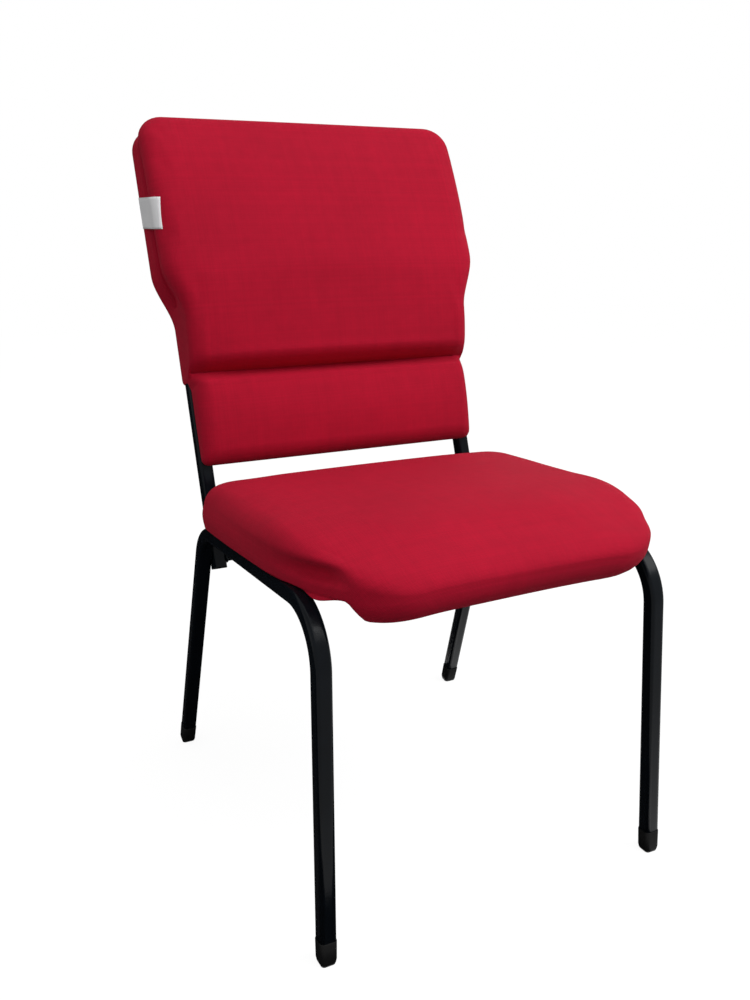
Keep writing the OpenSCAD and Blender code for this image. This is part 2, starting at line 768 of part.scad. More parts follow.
module rear_panel_clips() {
    color("#d8d6d0") back_axes() at_clips() {
        translate([0, 0, -clip_head_t - fit_gap / 2]) cylinder(r = clip_head_r, h = clip_head_t, $fn = round_steps);
        translate([0, 0, -fit_gap]) cylinder(r = clip_r, h = clip_reach, $fn = round_steps);
    }
}

module upright(side) {
    back_axes() difference() {
        translate([side * upright_x, 0, -upright_drop]) linear_extrude(upright_len) tube_section();
        at_clips() translate([0, 0, -over]) cylinder(r = clip_r + fit_gap, h = tube_wall + 2 * over, $fn = round_steps);
    }
}

module right_upright() {
    color("#14161a") upright(1);
}

module left_upright() {
    color("#14161a") upright(-1);
}

// Plastic plugs in both ends of both uprights
plug_flange = 2;
plug_depth = 10;
module plug() {
    linear_extrude(plug_flange) polygon(rounded_points(tube_w, tube_corner));
    translate([0, 0, -plug_depth])
        linear_extrude(plug_depth + plug_flange / 2)
            polygon(rounded_points(tube_w - 2 * tube_wall - fit_gap, tube_corner - tube_wall));
}

module upright_plugs() {
    color("#101114") back_axes()
        for (side = [-1, 1]) {
            translate([side * upright_x, 0, upright_top]) plug();
            translate([side * upright_x, 0, -upright_drop]) rotate([180, 0, 0]) plug();
        }
}

// The blank label is sewn to the back cushion's left side and lies round the front of that side
label_up_share = 0.482;
label_up = lerp(wing_full, back_h - top_corner_r, label_up_share);
label_turn = 50;
module side_label() {
    r = back_edge + fit_gap;
    flat = label_w - r * label_turn * PI / 180;
    start = back_face(back_side(label_up) - back_edge, label_up) + back_edge;
    rise = back_face(0, label_up + label_l / 2) - back_face(0, label_up - label_l / 2);
    turns = [for (i = [0:corner_steps]) -label_turn + label_turn * i / corner_steps];
    outer = [for (a = turns) (r + label_t) * heading(a)];
    inner = [for (i = [corner_steps:-1:0]) r * heading(turns[i])];
    color("#eeeef0") back_axes()
        translate([back_edge - back_side(label_up), start, back_start + label_up])
            rotate([-atan(rise / label_l), 0, 0]) mirror([1, 0, 0]) translate([0, 0, -label_l / 2])
                linear_extrude(label_l) polygon(concat(outer, [[r + label_t, flat], [r, flat]], inner));
}

left_side_frame();
right_side_frame();
front_cross_tube();
rear_cross_tube();
left_upright();
right_upright();
back_cross_bar();
upright_plugs();
front_left_foot();
front_right_foot();
rear_left_foot();
rear_right_foot();
seat_tabs();
seat_board();
seat_dust_cover();
seat_cushion();
seat_screws();
seat_washers();
seat_tee_nuts();
back_tabs();
back_board();
back_lining();
back_cushion();
rear_panel();
rear_panel_clips();
back_screws();
back_washers();
back_tee_nuts();
side_label();
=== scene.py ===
# %% [markdown]
# # A choir chair
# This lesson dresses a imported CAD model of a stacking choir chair. The frame is bent square steel tube with
# a gloss black enamel, and the seat and back are foam on plywood boards under one red woven cloth. The CAD
# model is loaded first and never moved. Some of its pieces keep their shape and only get a finish, and the
# others are rebuilt here with smoother bends, softer foam and real cloth detail.

# %% Load the frame
import math

import bmesh
import bpy
import numpy as np
from mathutils import Matrix, Vector
from mathutils.bvhtree import BVHTree


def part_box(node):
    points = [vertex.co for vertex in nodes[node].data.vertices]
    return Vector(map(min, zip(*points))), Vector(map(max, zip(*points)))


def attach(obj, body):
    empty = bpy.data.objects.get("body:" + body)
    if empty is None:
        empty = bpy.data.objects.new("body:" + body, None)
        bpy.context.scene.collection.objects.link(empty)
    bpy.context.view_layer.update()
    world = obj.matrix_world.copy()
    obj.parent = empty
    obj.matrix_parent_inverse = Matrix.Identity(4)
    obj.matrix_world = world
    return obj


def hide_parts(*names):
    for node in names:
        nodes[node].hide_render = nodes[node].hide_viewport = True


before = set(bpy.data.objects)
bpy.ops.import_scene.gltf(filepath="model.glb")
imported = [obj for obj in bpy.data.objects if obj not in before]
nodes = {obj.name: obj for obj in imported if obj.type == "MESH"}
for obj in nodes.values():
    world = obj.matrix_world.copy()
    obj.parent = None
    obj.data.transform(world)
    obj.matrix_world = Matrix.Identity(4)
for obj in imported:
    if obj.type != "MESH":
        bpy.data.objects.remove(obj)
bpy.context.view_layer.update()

# %% [markdown]
# ## Camera
# The camera stands where the photographer stood: in front of the chair's left corner, a little above the
# seat, looking slightly down. A sensor width of 36 mm makes the lens number easy to compare with a real
# one.

# %% Camera
camera_data = bpy.data.cameras.new("camera")
camera_data.sensor_width = 36
camera_data.lens = 34.58
camera = bpy.data.objects.new("camera", camera_data)
bpy.context.scene.collection.objects.link(camera)
camera.location = (-0.5511, -1.0887, 0.7670)
camera.rotation_euler = Vector((0.42145, 0.86287, -0.27900)).to_track_quat("-Z", "Y").to_euler()
bpy.context.scene.camera = camera
print("camera at", tuple(round(c, 3) for c in camera.location))

# %% [markdown]
# ## Shorthand for shaders
# A shader is a small graph. These helpers add a node, feed its inputs with numbers or with what another
# node puts out, and give back its outputs, so that a graph reads like a sum.

# %% Node shorthand
WHITE = (1, 1, 1, 1)


def feed(tree, value, socket):
    if isinstance(value, bpy.types.NodeSocket):
        tree.links.new(value, socket)
    else:
        socket.default_value = value


def node(tree, kind, **inputs):
    made = tree.nodes.new("ShaderNode" + kind)
    for label, value in inputs.items():
        feed(tree, value, made.inputs[label.replace("_", " ")])
    return made.outputs


def calc(tree, operation, *values):
    made = tree.nodes.new("ShaderNodeMath")
    made.operation = operation
    for value, socket in zip(values, made.inputs):
        feed(tree, value, socket)
    return made.outputs[0]


def add(tree, first, second):
    return calc(tree, "ADD", first, second)


def times(tree, first, second):
    return calc(tree, "MULTIPLY", first, second)


def finish(name, **sockets):
    """A new material: the material, its node tree and its Principled shader."""
    made = bpy.data.materials.new(name)
    made.use_nodes = True
    shader = made.node_tree.nodes["Principled BSDF"]
    for label, value in sockets.items():
        shader.inputs[label.replace("_", " ")].default_value = value
    return made, made.node_tree, shader


# %% [markdown]
# ## Studio
# Product pictures use big soft lamps. A large lamp at the upper right gives the bright top and front, a
# small one in front lights the back, a weak one fills the left, one hangs above, and a pale room does the
# rest. The room shows as plain white behind the chair, and the floor adds a little of its own white for the
# camera, so the shadow stays soft and pale.

# %% Room light
ROOM_LIGHT = 0.44
world = bpy.data.worlds.new("room")
bpy.context.scene.world = world
world.use_nodes = True
room = world.node_tree
room.nodes.clear()
rays = node(room, "LightPath")
seen = calc(room, "MAXIMUM", rays["Is Camera Ray"], rays["Is Transmission Ray"])
pick = room.nodes.new("ShaderNodeMixShader")
feed(room, calc(room, "MAXIMUM", seen, rays["Is Glossy Ray"]), pick.inputs["Fac"])
for strength, socket in ((ROOM_LIGHT, pick.inputs[1]), (1.0, pick.inputs[2])):
    feed(room, node(room, "Background", Color=WHITE, Strength=strength)[0], socket)
node(room, "OutputWorld", Surface=pick.outputs[0])


# %% Soft lamps
def soft_lamp(name, place, aim, size, watts):
    data = bpy.data.lights.new(name, "AREA")
    data.shape = "RECTANGLE"
    data.size, data.size_y = size
    data.energy = watts
    lamp = bpy.data.objects.new(name, data)
    bpy.context.scene.collection.objects.link(lamp)
    lamp.location = place
    lamp.rotation_euler = (Vector(aim) - Vector(place)).to_track_quat("-Z", "Y").to_euler()


soft_lamp("key_lamp", (1.35, -1.2, 2.1), (0, 0, 0.6), (1.3, 1.1), 27)
soft_lamp("back_lamp", (0.1, -1.1, 1.65), (0, 0.2, 0.8), (0.8, 0.8), 3.6)
soft_lamp("side_lamp", (-2.0, -0.2, 1.0), (0, 0, 0.55), (1.0, 1.0), 1.8)
soft_lamp("top_lamp", (0.1, -0.2, 2.4), (0, 0, 0.4), (1.4, 1.4), 4)


# %% From a flat grid to an object
def grid(columns, rows, size=1):
    bm = bmesh.new()
    bmesh.ops.create_grid(bm, x_segments=columns, y_segments=rows, size=size)
    return bm


def placed(bm, name, material):
    mesh = bpy.data.meshes.new(name)
    bm.to_mesh(mesh)
    bm.free()
    mesh.materials.append(material)
    made = bpy.data.objects.new(name, mesh)
    bpy.context.scene.collection.objects.link(made)
    return made


# %% [markdown]
# Dark glossy paint needs something dark to mirror, or its sides turn grey. Studios stand a black card
# beside the set for that. This one stands behind the chair and to its left, with a tail that lies on the
# floor as far as under the chair, and it is only there for reflections.

# %% Black card
CARD_W, CARD_H, CARD_X, CARD_Y, CARD_TAIL, CARD_LIFT = 2.12, 1.5, -0.84, 0.9, 1.25, 0.002
CARD_LINE = ((CARD_Y - CARD_TAIL, CARD_LIFT), (CARD_Y, 0), (CARD_Y, CARD_H))
bm = grid(1, 2)
for v in bm.verts:
    v.co = (CARD_X + v.co.x * CARD_W / 2, *CARD_LINE[round(v.co.y) + 1])
card = placed(bm, "black_card", finish("card_paint", Base_Color=(0.004, 0.004, 0.005, 1), Roughness=0.9)[0])
card.visible_camera = card.visible_diffuse = card.visible_shadow = card.visible_transmission = False

# %% Floor
FLOOR_HALF, FLOOR_TONE, FLOOR_GLOW = 6, 0.18, 0.92
floor_paint, paint, shader = finish("floor_paint")
paint.nodes.clear()
rays = node(paint, "LightPath")
seen = calc(paint, "MAXIMUM", rays["Is Camera Ray"], rays["Is Glossy Ray"])
glow = node(paint, "Emission", Color=WHITE, Strength=times(paint, seen, FLOOR_GLOW))[0]
matt = node(paint, "BsdfDiffuse", Color=(FLOOR_TONE, FLOOR_TONE, FLOOR_TONE, 1))[0]
both = paint.nodes.new("ShaderNodeAddShader")
feed(paint, matt, both.inputs[0])
feed(paint, glow, both.inputs[1])
node(paint, "OutputMaterial", Surface=both.outputs[0])
floor = placed(grid(4, 4, FLOOR_HALF), "floor", floor_paint)
bpy.context.scene.view_settings.view_transform = "Standard"
print("studio ready")

# %% [markdown]
# ## Finishes
# Every finish below is procedural. Effects that several finishes share are node groups: a woven thread
# pattern, a slow mottle of tone, and fine scuffs. The Principled shader stays in the finish itself, where
# an exporter can read it.

# %% More shorthand
def mix_tone(tree, share, first, second, kind="MIX"):
    made = tree.nodes.new("ShaderNodeMix")
    made.data_type, made.blend_type = "RGBA", kind
    for value, place in ((share, 0), (first, 6), (second, 7)):
        feed(tree, value, made.inputs[place])
    return made.outputs[2]


def noise(tree, vector, scale, detail=2.0, rough=0.5):
    return node(tree, "TexNoise", Vector=vector, Scale=scale, Detail=detail, Roughness=rough)["Fac"]


def spread(tree, value, low, high, to_low=0.0, to_high=1.0):
    made = tree.nodes.new("ShaderNodeMapRange")
    for value_in, socket in zip((value, low, high, to_low, to_high), made.inputs):
        feed(tree, value_in, socket)
    return made.outputs[0]


def stretched(tree, vector, scale):
    return node(tree, "Mapping", Vector=vector, Scale=scale)[0]


def effect(name, inputs, outputs):
    """A new node group: the group, what comes into it and what it puts out."""
    tree = bpy.data.node_groups.new(name, "ShaderNodeTree")
    for label, kind, value in inputs:
        socket = tree.interface.new_socket(name=label, in_out="INPUT", socket_type="NodeSocket" + kind)
        if value is not None:
            socket.default_value = value
    for label in outputs:
        tree.interface.new_socket(name=label, in_out="OUTPUT", socket_type="NodeSocketFloat")
    return tree, tree.nodes.new("NodeGroupInput").outputs, tree.nodes.new("NodeGroupOutput").inputs


def use(tree, group, **inputs):
    made = tree.nodes.new("ShaderNodeGroup")
    made.node_tree = group
    for label, value in inputs.items():
        feed(tree, value, made.inputs[label])
    return made.outputs


# %% [markdown]
# A plain weave is a chequerboard of small humps. In every other square the warp thread lies on top and its
# hump is long one way, and in the rest the weft lies on top and its hump is long the other way. The thread
# number seeds a small tone change, as yarn is never dyed quite evenly.

# %% Woven threads
weave, given, put = effect(
    "woven_threads", [("Place", "Vector", None), ("Pitch", "Float", 0.0014), ("Wander", "Float", 0.12)],
    ("Height", "Tone"))
wander = times(weave, calc(weave, "SUBTRACT", noise(weave, given["Place"], 90), 0.5), given["Wander"])
place = node(weave, "SeparateXYZ", Vector=given["Place"])
ways = [add(weave, calc(weave, "DIVIDE", place[i], given["Pitch"]), wander) for i in (0, 1)]
numbers = [calc(weave, "FLOOR", way) for way in ways]
hump_u, hump_v = (calc(weave, "SINE", times(weave, calc(weave, "FRACT", way), math.pi)) for way in ways)
warp_top = calc(weave, "PINGPONG", add(weave, *numbers), 1.0)
weft_top = calc(weave, "SUBTRACT", 1.0, warp_top)
warp_hump = times(weave, hump_u, calc(weave, "POWER", hump_v, 0.4))
weft_hump = times(weave, hump_v, calc(weave, "POWER", hump_u, 0.4))
feed(weave, add(weave, times(weave, warp_hump, warp_top), times(weave, weft_hump, weft_top)), put["Height"])
tones = []
for number in numbers:
    dice = weave.nodes.new("ShaderNodeTexWhiteNoise")
    dice.noise_dimensions = "1D"
    feed(weave, number, dice.inputs["W"])
    tones.append(dice.outputs["Value"])
feed(weave, times(weave, add(weave, *tones), 0.5), put["Tone"])

# %% Mottle and scuffs
mottle, given, put = effect(
    "slow_mottle", [("Place", "Vector", None), ("Low", "Float", 0.9), ("High", "Float", 1.1)], ("Shade",))
cloudy = add(mottle, times(mottle, noise(mottle, given["Place"], 9, 3), 0.6),
             times(mottle, noise(mottle, given["Place"], 70, 3), 0.4))
feed(mottle, spread(mottle, cloudy, 0.34, 0.66, given["Low"], given["High"]), put["Shade"])

scuffs, given, put = effect(
    "fine_scuffs", [("Place", "Vector", None), ("Amount", "Float", 0.3)], ("Mask", "Height"))
scratch_lines = noise(scuffs, stretched(scuffs, given["Place"], (900, 900, 26)), 1.0, 3, 0.6)
scratched = spread(scuffs, scratch_lines, 0.62, 0.72)
rubbed = spread(scuffs, noise(scuffs, given["Place"], 14, 3, 0.6), 0.5, 0.75)
feed(scuffs, times(scuffs, times(scuffs, scratched, rubbed), given["Amount"]), put["Mask"])
feed(scuffs, noise(scuffs, given["Place"], 420, 2), put["Height"])
print("groups:", [g.name for g in bpy.data.node_groups])


# %% Places and bumps
def object_place(tree):
    return node(tree, "TexCoord")["Object"]


def cloth_place(tree):
    made = tree.nodes.new("ShaderNodeUVMap")
    made.uv_map = "cloth"
    return made.outputs[0]


def bump(tree, shader, height, distance):
    feed(tree, node(tree, "Bump", Distance=distance, Strength=1.0, Height=height)[0], shader.inputs["Normal"])


# %% [markdown]
# ### Cloth
# The cover is a tight woven cloth. Its colour comes from two reds, one for the thread tops and a darker one
# for the gaps, which is painted shade between the raised threads. A slow mottle lies over both, and loose
# fibres give a little sheen. The same recipe with other colours and pitches makes the lining, the dust cover
# and the blank tag.

# %% Cloth finishes
def cloth(name, top, gap, pitch, depth, low=0.93, high=1.07, fuzz=0.5, **sockets):
    made, tree, shader = finish(name, **sockets)
    where = cloth_place(tree)
    threads = use(tree, weave, Place=where, Pitch=pitch)
    slow = use(tree, mottle, Place=object_place(tree), Low=low, High=high)
    # Thread height picks between the top colour and the darker gap colour, which paints the shade between the
    # raised threads; the yarn tone adds a random change.
    painted_shade_and_tone = add(tree, times(tree, threads["Height"], 0.75), times(tree, threads["Tone"], 0.25))
    shade = tree.nodes.new("ShaderNodeCombineColor")
    for socket in shade.inputs[:3]:
        feed(tree, slow["Shade"], socket)
    base = mix_tone(tree, 1.0, mix_tone(tree, painted_shade_and_tone, gap, top), shade.outputs[0], "MULTIPLY")
    feed(tree, base, shader.inputs["Base Color"])
    feed(tree, spread(tree, threads["Height"], 0.0, 1.0, 0.95, 0.78), shader.inputs["Roughness"])
    fibres = times(tree, noise(tree, where, 2600, 2), fuzz)
    bump(tree, shader, add(tree, threads["Height"], fibres), depth)
    return made


# The second colour of each cloth is its gap colour, darker as painted shade between the threads.
cover_fabric = cloth("cover_fabric", (0.60, 0.0050, 0.034, 1), (0.33, 0.0028, 0.019, 1), 0.0013, 0.00018,
                     Sheen_Weight=0.04, Sheen_Roughness=0.4, Sheen_Tint=(1.0, 0.10, 0.18, 1),
                     Specular_IOR_Level=0.17)
lining_fabric = cloth("lining_fabric", (0.36, 0.013, 0.032, 1), (0.20, 0.007, 0.017, 1), 0.0009, 0.00012,
                      Sheen_Weight=0.05, Specular_IOR_Level=0.15)
dust_fabric = cloth("dust_fabric", (0.016, 0.016, 0.018, 1), (0.006, 0.006, 0.007, 1), 0.0007, 0.00008,
                    0.8, 1.25, fuzz=2.5, Specular_IOR_Level=0.25)
label_cloth = cloth("label_cloth", (0.97, 0.97, 0.98, 1), (0.93, 0.93, 0.95, 1), 0.0005, 0.00004,
                    0.99, 1.01, Sheen_Weight=1.0, Sheen_Roughness=0.35, Specular_IOR_Level=0.7)

seam_thread, tree, shader = finish("seam_thread", Specular_IOR_Level=0.2, Roughness=0.75)
twist = noise(tree, object_place(tree), 1500, 2)
twisted = mix_tone(tree, twist, (0.22, 0.0020, 0.012, 1), (0.42, 0.0035, 0.024, 1))
feed(tree, twisted, shader.inputs["Base Color"])

# %% [markdown]
# ### Enamel and plastic
# Gloss enamel is a thin black skin. It reflects the white studio in narrow streaks, ripples a little like
# orange peel, and dulls in scuffs where stacked chairs rub. The feet are satin moulded plastic.

# %% Enamel, steel and plastic finishes
def hard(name, low, high, rough, ripple, scuff_tone, amount, **sockets):
    made, tree, shader = finish(name, **sockets)
    where = object_place(tree)
    marks = use(tree, scuffs, Place=where, Amount=amount)
    slow = use(tree, mottle, Place=where, Low=0.0, High=1.0)
    base = mix_tone(tree, slow["Shade"], low, high)
    feed(tree, mix_tone(tree, marks["Mask"], base, scuff_tone), shader.inputs["Base Color"])
    dull = spread(tree, slow["Shade"], 0.0, 1.0, rough - 0.03, rough + 0.05)
    feed(tree, add(tree, times(tree, marks["Mask"], 0.4), dull), shader.inputs["Roughness"])
    bump(tree, shader, marks["Height"], ripple)
    return made


# Both enamel tones lean blue: that blue cast is a painted reflection, the bluish sheen that the legs' faces
# mirror.
frame_enamel = hard("frame_enamel", (0.0030, 0.0044, 0.0064, 1), (0.0046, 0.0070, 0.0104, 1), 0.18, 0.00003,
                    (0.05, 0.05, 0.055, 1), 0.35, Specular_IOR_Level=0.085)
foot_plastic = hard("foot_plastic", (0.006, 0.006, 0.0062, 1), (0.011, 0.011, 0.011, 1), 0.42, 0.00006,
                    (0.06, 0.058, 0.055, 1), 0.6, Specular_IOR_Level=0.09)
black_steel = hard("black_steel", (0.012, 0.012, 0.013, 1), (0.02, 0.02, 0.021, 1), 0.36, 0.00003,
                   (0.10, 0.10, 0.10, 1), 0.5, Specular_IOR_Level=0.5)
zinc_steel = hard("zinc_steel", (0.50, 0.51, 0.52, 1), (0.62, 0.62, 0.61, 1), 0.34, 0.00002,
                  (0.36, 0.36, 0.36, 1), 0.6, Metallic=0.9)
clip_plastic = hard("clip_plastic", (0.60, 0.58, 0.53, 1), (0.70, 0.68, 0.64, 1), 0.45, 0.00003,
                    (0.45, 0.43, 0.40, 1), 0.3, Specular_IOR_Level=0.45)

# %% [markdown]
# ### Plywood
# The boards hide in the cushions. Their faces show long grain, and a rotary-cut veneer is pale and streaky.

# %% Plywood finish
board_wood, tree, shader = finish("board_wood", Specular_IOR_Level=0.3)
where = object_place(tree)
grain = noise(tree, stretched(tree, where, (4, 90, 90)), 1.0, 5, 0.62)
streak = times(tree, noise(tree, stretched(tree, where, (1.5, 26, 26)), 1.0, 2), 0.5)
tone = mix_tone(tree, spread(tree, grain, 0.35, 0.65), (0.56, 0.37, 0.19, 1), (0.33, 0.19, 0.085, 1))
feed(tree, mix_tone(tree, streak, tone, (0.62, 0.44, 0.25, 1)), shader.inputs["Base Color"])
feed(tree, spread(tree, grain, 0.3, 0.7, 0.62, 0.8), shader.inputs["Roughness"])
bump(tree, shader, grain, 0.0002)
print("finishes:", len(bpy.data.materials))

# %% [markdown]
# ## Places on the chair
# The CAD model measures its frame along three sets of axes: the side frames' own plane, the seat, which
# follows the sloping rails, and the back, which follows the leaning uprights. Pieces are shaped on those
# axes and then carried to their place by one matrix.

# %% Axes
MIDDLE_Y = 0.296286
TUBE, CORNER, SOCKET_W = 0.019, 0.0045, 0.0225
RAIL_H, FOOT_SPREAD, FRONT_FOOT_W = 0.3955, 0.521, 0.445
FRONT_RAKE, RAIL_SLOPE, REAR_RAKE, BACK_RAKE = (math.radians(a) for a in (3.3, 3.2, 18.5, 19.5))
SPLAY, TOE = math.radians(1.4), math.radians(1.0)
FRONT_BEND, REAR_BEND, CROSS_DROP = 0.066, 0.060, 0.0447
UPRIGHT_X, UPRIGHT_LOW, UPRIGHT_LEN = 0.201901, -0.016, 0.430
BACK_START = 0.1215


def frame_axes(origin, turn):
    return Matrix.Translation(origin - Vector((0, MIDDLE_Y, 0))) @ Matrix.Rotation(turn, 4, "X")


front_corner = Vector((0, RAIL_H * math.tan(FRONT_RAKE), RAIL_H))
leg_up = Vector((0, math.sin(FRONT_RAKE), math.cos(FRONT_RAKE)))
rail_back = Vector((0, math.cos(RAIL_SLOPE), -math.sin(RAIL_SLOPE)))
rear_up = Vector((0, -math.sin(REAR_RAKE), math.cos(REAR_RAKE)))
rear_foot = Vector((0, FOOT_SPREAD, 0))
RAIL_LEN = (rear_foot - front_corner).cross(rear_up).x / rail_back.cross(rear_up).x
rear_corner = front_corner + RAIL_LEN * rail_back
cross_z = rear_corner.z - CROSS_DROP
cross_point = Vector((0, FOOT_SPREAD - cross_z * math.tan(REAR_RAKE), cross_z))
seat_axes = frame_axes(front_corner, -RAIL_SLOPE)
back_axes = frame_axes(cross_point, -BACK_RAKE)
back_cushion_axes = back_axes @ Matrix.Translation((0, 0, BACK_START))
side_axes = (Matrix.Translation((FRONT_FOOT_W / 2, -MIDDLE_Y, 0))
             @ Matrix.Rotation(-TOE, 4, "Z") @ Matrix.Rotation(-SPLAY, 4, "Y"))
SIDES = (("right", side_axes), ("left", Matrix.Diagonal((-1, 1, 1, 1)) @ side_axes))
print("rail length", round(RAIL_LEN, 5), "seat at", seat_axes.translation, "back at", back_axes.translation)


# %% From a bmesh to a piece of the chair
def piece(bm, name, material, axes=None, replaced=(), weighted=False):
    """One visible piece, carried by axes. Its faces are shaded smooth, and the CAD parts that it replaces are
    hidden."""
    if axes:
        bmesh.ops.transform(bm, matrix=axes, verts=bm.verts)
    bmesh.ops.recalc_face_normals(bm, faces=bm.faces)
    made = placed(bm, name, material)
    for polygon in made.data.polygons:
        polygon.use_smooth = True
    if weighted:
        made.modifiers.new("even_normals", "WEIGHTED_NORMAL").keep_sharp = True
    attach(made, "root")
    if replaced:
        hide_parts(*replaced)
    print(name, len(made.data.polygons), "faces")
    return made


# %% [markdown]
# ## Frame tube
# Square tube has rounded corners, and a press bends it over a die. The die flattens the inside of each bend
# into a shallow trough and lets the sides swell a little, which is what makes the streaks of light on a
# real bend. One rounded square face is extruded from station to station along the tube's line, and each
# ring in a bend is then pressed into that trough.

# %% Sweep along stations
TROUGH, SWELL = 0.0011, 0.03


def station(point, heading, side=Vector((1, 0, 0))):
    turned = Matrix((side, heading.cross(side), heading)).transposed().to_4x4()
    return Matrix.Translation(point) @ turned


def rounded_face(bm, width, radius):
    face = bmesh.ops.create_grid(bm, x_segments=1, y_segments=1, size=width / 2)["verts"][0].link_faces[0]
    bmesh.ops.bevel(bm, geom=list(face.verts), offset=radius, segments=8, profile=0.5,
                    affect="VERTICES", material=-1)
    flats = [e for e in bm.faces[:][0].edges if e.calc_length() > radius]
    bmesh.ops.subdivide_edges(bm, edges=flats, cuts=5)
    return bm.faces[:][0]


def sweep(bm, stations, pressed=None, width=TUBE, radius=CORNER):
    """Extrudes a rounded square through the stations. pressed is how deep each ring lies in a bend."""
    face = rounded_face(bm, width, radius)
    bmesh.ops.transform(bm, matrix=stations[0], verts=face.verts)
    rings = [list(face.verts)]
    for before, after in zip(stations, stations[1:]):
        grown = bmesh.ops.extrude_face_region(bm, geom=[face])["geom"]
        face = next(g for g in grown if isinstance(g, bmesh.types.BMFace))
        bmesh.ops.transform(bm, matrix=after @ before.inverted(), verts=face.verts)
        rings.append(list(face.verts))
    for ring, place, share in zip(rings, stations, pressed or [0] * len(rings)):
        for v in ring if share else ():
            p = place.inverted() @ v.co
            if p.y > width / 2 - radius / 3:
                p.y -= TROUGH * share * max(0.0, 1 - (p.x / (width / 2 - radius)) ** 2)
            p.x *= 1 + SWELL * share * max(0.0, 1 - (2 * p.y / width) ** 2)
            v.co = place @ p
    return rings


# %% Side frames
def bend(corner, heading_in, heading_out, radius, steps=26):
    angle = heading_in.angle(heading_out)
    start = corner - radius * math.tan(angle / 2) * heading_in
    inner = heading_in.cross(Vector((1, 0, 0)))
    centre = start + radius * inner
    made, shares = [], []
    for i in range(steps + 1):
        t = i / steps
        turned = Matrix.Rotation(-angle * t, 3, "X")
        made.append(station(centre - radius * (turned @ inner), turned @ heading_in))
        shares.append(math.sin(math.pi * t) ** 0.5 if 0 < t < 1 else 0.0)
    return made, shares


front_stations, front_press = bend(front_corner, leg_up, rail_back, FRONT_BEND)
rear_stations, rear_press = bend(rear_corner, rail_back, -rear_up, REAR_BEND)
CAP_SOLE = 0.006
front_from, rear_from = (CAP_SOLE + SOCKET_W / 2 * math.tan(rake) for rake in (FRONT_RAKE, REAR_RAKE))
line = [station(front_from * leg_up, leg_up), *front_stations, *rear_stations,
        station(rear_foot + rear_from * rear_up, -rear_up)]
press = [0.0, *front_press, *rear_press, 0.0]
for side, carry in SIDES:
    bm = bmesh.new()
    sweep(bm, line, press)
    piece(bm, side + "_frame_tube", frame_enamel, carry, [side + "_side_frame"], weighted=True)

# %% [markdown]
# ## Straight tubes
# Two cross tubes and two uprights complete the frame. They are the same square tube without bends. Each
# meets its neighbour at a welded joint.

# %% Cross tubes and uprights
ALONG_Y = Vector((0, 1, 0))


def straight(name, start, end, axes, replaced):
    bm = bmesh.new()
    heading = (Vector(end) - Vector(start)).normalized()
    side = ALONG_Y if abs(heading.x) > 0.5 else Vector((1, 0, 0))
    sweep(bm, [station(start, heading, side), station(end, heading, side)])
    piece(bm, name, frame_enamel, axes, [replaced], weighted=True)


front_half, rear_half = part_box("front_cross_tube")[1].x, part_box("rear_cross_tube")[1].x
front_back, upright_top = FRONT_BEND + TUBE / 2, UPRIGHT_LOW + UPRIGHT_LEN
CROSS = (("front", front_half, front_back, seat_axes), ("rear", rear_half, 0, back_axes))
for name, half, back, axes in CROSS:
    straight(name + "_tube", (-half, back, 0), (half, back, 0), axes, name + "_cross_tube")
for side, x in (("right", UPRIGHT_X), ("left", -UPRIGHT_X)):
    straight(side + "_back_tube", (x, 0, UPRIGHT_LOW), (x, 0, upright_top), back_axes, side + "_upright")

# %% [markdown]
# ### Weld beads
# A bead of weld runs round each end of a cross tube. It is a short collar that swells towards the neighbour
# and has the small ripples that the welder's hand leaves. Paint covers all four alike, so they are one
# piece.

# %% Weld beads
BEAD = ((-0.0005, 0.0020), (0.0006, 0.0021), (0.0014, 0.0017), (0.0022, 0.0010), (0.0029, 0.0001))
RIPPLES, RIPPLE = 26, 0.15


def add_copy(bm, one, matrix):
    """Adds a copy of the small shape one to bm, carried by matrix."""
    shape = bpy.data.meshes.new("one")
    one.to_mesh(shape)
    shape.transform(matrix)
    bm.from_mesh(shape)
    bpy.data.meshes.remove(shape)


one = bmesh.new()
rings = sweep(one, [Matrix.Translation((0, 0, run)) for run, swell in BEAD])
for ring, (run, swell) in zip(rings, BEAD):
    for v in ring:
        lump = swell * (1 - RIPPLE + RIPPLE * math.sin(RIPPLES * math.atan2(v.co.y, v.co.x)))
        v.co.x *= 1 + lump / (TUBE / 2)
        v.co.y *= 1 + lump / (TUBE / 2)
bm = bmesh.new()
for name, half, back, axes in CROSS:
    for way in (1, -1):
        add_copy(bm, one, axes @ station((-way * half, back, 0), Vector((way, 0, 0)), ALONG_Y))
one.free()
piece(bm, "weld_beads", frame_enamel)

# %% [markdown]
# ## Feet
# Each leg stands in a moulded cap. A cap is a slightly wider rounded square with softened rims, and its
# sole is cut flat where it meets the floor, because the legs lean.

# %% Foot caps
CAP_H, CAP_W, CAP_CORNER, CAP_RIM = 0.028, 0.0202, 0.0049, 0.0012
CAP_RINGS = ((-0.002, 0.76), (0.002, 0.90), (0.006, 0.975))
CAP_RIM_SHARE = 0.96


